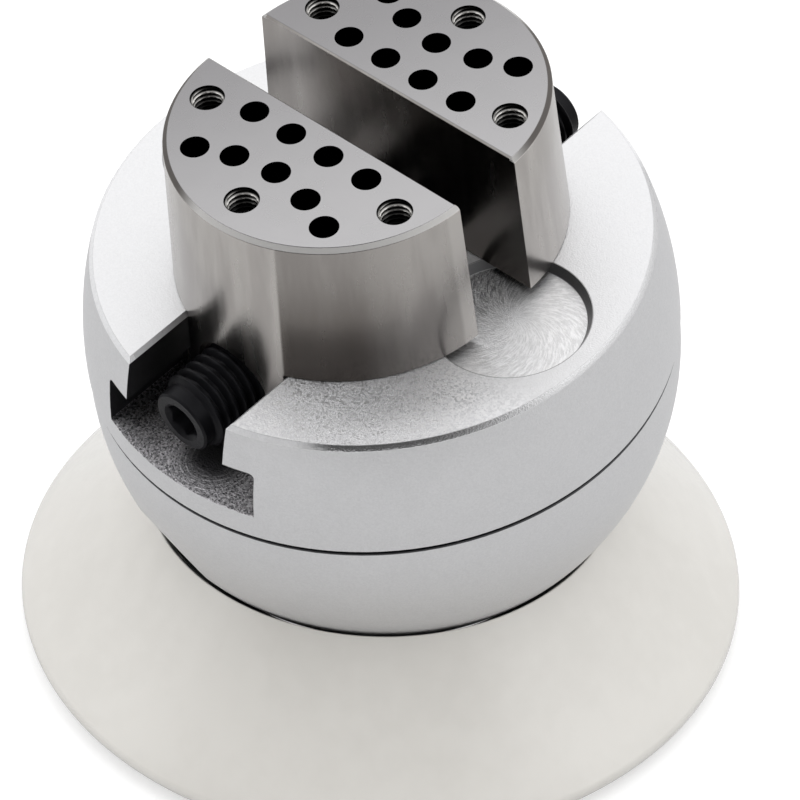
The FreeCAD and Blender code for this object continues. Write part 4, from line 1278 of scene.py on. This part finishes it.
@dataclass
class ScrewAssembly:
    """Lead screw with a left-hand and a right-hand thread and a hexagon socket in each end."""

    level: float = 21.4
    radius: float = 6.97
    root: float = 5.8
    pitch: float = 2.0
    steps: int = 12
    first_step: float = 0.02
    flank: float = 1.75
    root_flat: float = 0.32
    run_in: float = 0.6
    run_out: float = 0.9
    half_length: float = 48.2
    neck: float = 2.2
    face_bevel: float = 0.35
    groove: float = 4.5
    groove_half: float = 4.1
    socket: float = 6.0
    socket_depth: float = 8.0
    drill_tip: float = 1.2
    countersink: float = 3.85
    socket_turn: float = math.radians(-25.0)
    sinks: tuple[float, ...] = (0.0, 0.15, 0.3, 0.45, 0.6, 0.75, 0.9)
    parts: int = 72

    def hexagon(self, angles: np.ndarray) -> np.ndarray:
        """Distance to a hexagon's side at each angle: half the width over the cosine within its side."""
        sixth = TURN / 6
        within = (angles - self.socket_turn) % sixth - sixth / 2
        return 0.5 * self.socket / np.cos(within)

    def half(self, hand: float, angles: np.ndarray) -> tuple[np.ndarray, np.ndarray]:
        """Distances along the screw and radii for one half, from the groove to the socket's floor.

        Args:
            hand: 1 for a right-hand thread, -1 for a left-hand one.
            angles: row of angles around the screw.

        Returns:
            Column of distances and grid of radii.
        """
        start = self.groove_half
        end = self.half_length - self.neck
        along = np.arange(start + self.first_step, end, self.pitch / self.steps)[:, None]
        phase = (along / self.pitch - hand * angles / TURN) % 1.0
        wave = np.clip(self.flank * (1.0 - np.abs(2.0 * phase - 1.0)) - self.root_flat, 0.0, 1.0)
        fade = smoothstep(start, start + self.run_in, along)
        fade *= 1.0 - smoothstep(end - self.run_out, end, along)
        thread = self.root + (self.radius - self.root) * wave * fade
        ones = np.ones_like(angles)
        face = self.half_length
        corner = self.hexagon(angles)
        steps = [
            (face - self.face_bevel, self.root * ones),
            (face, (self.root - self.face_bevel) * ones),
        ]
        steps += [(face - sink, np.maximum(corner, self.countersink - sink)) for sink in self.sinks]
        steps += [
            (face - self.socket_depth, corner),
            (face - self.socket_depth - self.drill_tip, 0.0 * ones),
        ]
        distances = np.vstack([along] + [np.array([[d]]) for d, _ in steps])
        radii = np.vstack([thread] + [r for _, r in steps])
        return distances, radii

    def rings(self) -> np.ndarray:
        """Rings of the whole screw, from one socket's floor to the other's."""
        angles = np.linspace(0.0, TURN, self.parts, endpoint=False)[None, :]
        far_along, far_radius = self.half(1.0, angles)
        near_along, near_radius = self.half(-1.0, angles)
        groove = np.array([[-self.groove_half], [-self.groove_half], [self.groove_half], [self.groove_half]])
        groove_radius = np.array([[self.root], [self.groove], [self.groove], [self.root]]) + 0.0 * angles
        along = np.vstack([-near_along[::-1], groove, far_along])
        radius = np.vstack([near_radius[::-1], groove_radius, far_radius])
        rings = np.stack([radius * np.cos(angles), along + 0.0 * angles,
                          self.level + radius * np.sin(angles)], axis=-1)
        return POSE.to_row(rings)

    def make(self, finishes: Finishes) -> list[bpy.types.Object]:
        """Build the screw and let it turn on its body."""
        piece = MeshMaker.rings("screw_threaded", self.rings(), angle=40.0)
        piece.data.materials.append(finishes.black)
        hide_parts("lead_screw")
        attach(piece, "screw")
        return [piece]


@dataclass
class Studio:
    """White floor and backdrop, soft lamps and the photograph's camera."""

    camera_place: tuple[float, float, float] = (0.3081, -0.3378, 0.4434)
    right: tuple[float, float, float] = (0.73411, 0.67886, 0.01536)
    down: tuple[float, float, float] = (0.45386, -0.47372, -0.75473)
    ahead: tuple[float, float, float] = (-0.50507, 0.56103, -0.65586)
    lens: float = 149.64
    sensor: float = 36.0
    floor_size: float = 6.0
    floor_colour: float = 0.64
    floor_roughness: float = 0.9
    floor_glow: float = 0.45
    floor_gloss_glow: float = 0.08
    shade_azimuth: float = -60.0
    shade_elevation: float = 22.0
    shade_inner: float = 20.0
    shade_outer: float = 72.0
    shade_level: float = 0.08
    side_level: float = 0.85
    top_level: float = 1.5
    top_height: float = 0.9
    lamp_target: tuple[float, float, float] = (0.0, 0.0, 0.07)
    lamps: list[tuple] = field(default_factory=lambda: [
        ("overhead", (-0.15, 0.35, 1.3), (1.6, 1.6), 2.0),
        ("front_fill", (0.42, -0.98, 0.8), (1.2, 1.2), 6.5),
    ])

    def camera(self) -> None:
        """Camera whose axes are the fitted right, up and back directions."""
        data = bpy.data.cameras.new("photo_camera")
        data.lens = self.lens
        data.sensor_width = self.sensor
        data.sensor_fit = "HORIZONTAL"
        camera = bpy.data.objects.new("photo_camera", data)
        right, down, ahead = Vector(self.right), Vector(self.down), Vector(self.ahead)
        turn = Matrix((right, -down, -ahead)).transposed()
        camera.matrix_world = Matrix.Translation(Vector(self.camera_place)) @ turn.to_4x4()
        bpy.context.scene.collection.objects.link(camera)
        bpy.context.scene.camera = camera

    def floor(self) -> None:
        """Pale floor: white to the camera away from the object, darkened only by its shadow."""
        half = self.floor_size / 2
        mesh = bpy.data.meshes.new("studio_floor")
        mesh.from_pydata([(-half, -half, 0), (half, -half, 0), (half, half, 0), (-half, half, 0)], [],
                         [(0, 1, 2, 3)])
        floor = bpy.data.objects.new("studio_floor", mesh)
        bpy.context.scene.collection.objects.link(floor)
        material = bpy.data.materials.new("studio_floor")
        material.use_nodes = True
        w = Wiring(material.node_tree)
        shader = material.node_tree.nodes["Principled BSDF"]
        shader.inputs["Base Color"].default_value = (*(self.floor_colour,) * 3, 1.0)
        shader.inputs["Roughness"].default_value = self.floor_roughness
        shader.inputs["Specular IOR Level"].default_value = 0.0
        rays = w.node("LightPath")
        mirrored = w.math("ADD", rays.outputs["Is Glossy Ray"], rays.outputs["Is Transmission Ray"],
                          clamp=True)
        glow = w.times(mirrored, self.floor_gloss_glow)
        glow = w.math("MULTIPLY_ADD", rays.outputs["Is Camera Ray"], self.floor_glow, glow)
        shader.inputs["Emission Color"].default_value = (1.0, 1.0, 1.0, 1.0)
        w.feed(shader.inputs["Emission Strength"], glow)
        mesh.materials.append(material)

    def world(self) -> None:
        """White surroundings that darken softly towards the side the photographer stands on.

        Seen directly the world is plain white. For other rays its level rises from the horizon to
        the zenith, and falls to shade_level as the direction nears the shade's middle: the cosine
        between the two is eased from the outer angle to the inner one.
        """
        world = bpy.data.worlds.new("studio")
        bpy.context.scene.world = world
        world.use_nodes = True
        w = Wiring(world.node_tree)
        background = world.node_tree.nodes["Background"]
        direction = w.node("TexCoord").outputs["Generated"]
        azimuth, elevation = math.radians(self.shade_azimuth), math.radians(self.shade_elevation)
        middle = (math.cos(elevation) * math.cos(azimuth), math.cos(elevation) * math.sin(azimuth),
                  math.sin(elevation))
        nearness = w.node("VectorMath", {0: direction, 1: middle}, operation="DOT_PRODUCT")
        shade = w.ramp(nearness.outputs["Value"], math.cos(math.radians(self.shade_outer)),
                       math.cos(math.radians(self.shade_inner)))
        height = w.node("SeparateXYZ", {0: direction}).outputs[2]
        level = w.ramp(height, 0.0, self.top_height, self.side_level, self.top_level)
        level = w.math("ADD", w.math("MULTIPLY", level, w.math("SUBTRACT", 1.0, shade)),
                       w.math("MULTIPLY", shade, self.shade_level))
        seen = w.node("LightPath").outputs["Is Camera Ray"]
        level = w.math("ADD", w.math("MULTIPLY", level, w.math("SUBTRACT", 1.0, seen)), seen)
        background.inputs["Color"].default_value = (1.0, 1.0, 1.0, 1.0)
        w.feed(background.inputs["Strength"], level)

    def lights(self) -> None:
        """Soft square lamps, all facing the ball."""
        for name, place, size, power in self.lamps:
            data = bpy.data.lights.new(name, "AREA")
            data.shape = "RECTANGLE"
            data.size, data.size_y = size
            data.energy = power
            lamp = bpy.data.objects.new(name, data)
            lamp.location = place
            lamp.visible_glossy = False
            towards = Vector(self.lamp_target) - Vector(place)
            lamp.rotation_euler = towards.to_track_quat("-Z", "Y").to_euler()
            bpy.context.scene.collection.objects.link(lamp)

    def make(self) -> None:
        """Set the whole studio up."""
        bpy.context.scene.view_settings.view_transform = "Standard"
        self.camera()
        self.floor()
        self.world()
        self.lights()


def main() -> None:
    """Build every sub-assembly in order and report its pieces."""
    logging.basicConfig(level=logging.INFO, format="%(name)s: %(message)s")
    Studio().make()
    finishes = Finishes()
    for assembly in (BaseAssembly(), BallAssembly(), JawPair(), ScrewAssembly()):
        for piece in assembly.make(finishes):
            LOG.info("%s: %d faces", piece.name, len(piece.data.polygons))


if __name__ == "__main__":
    main()
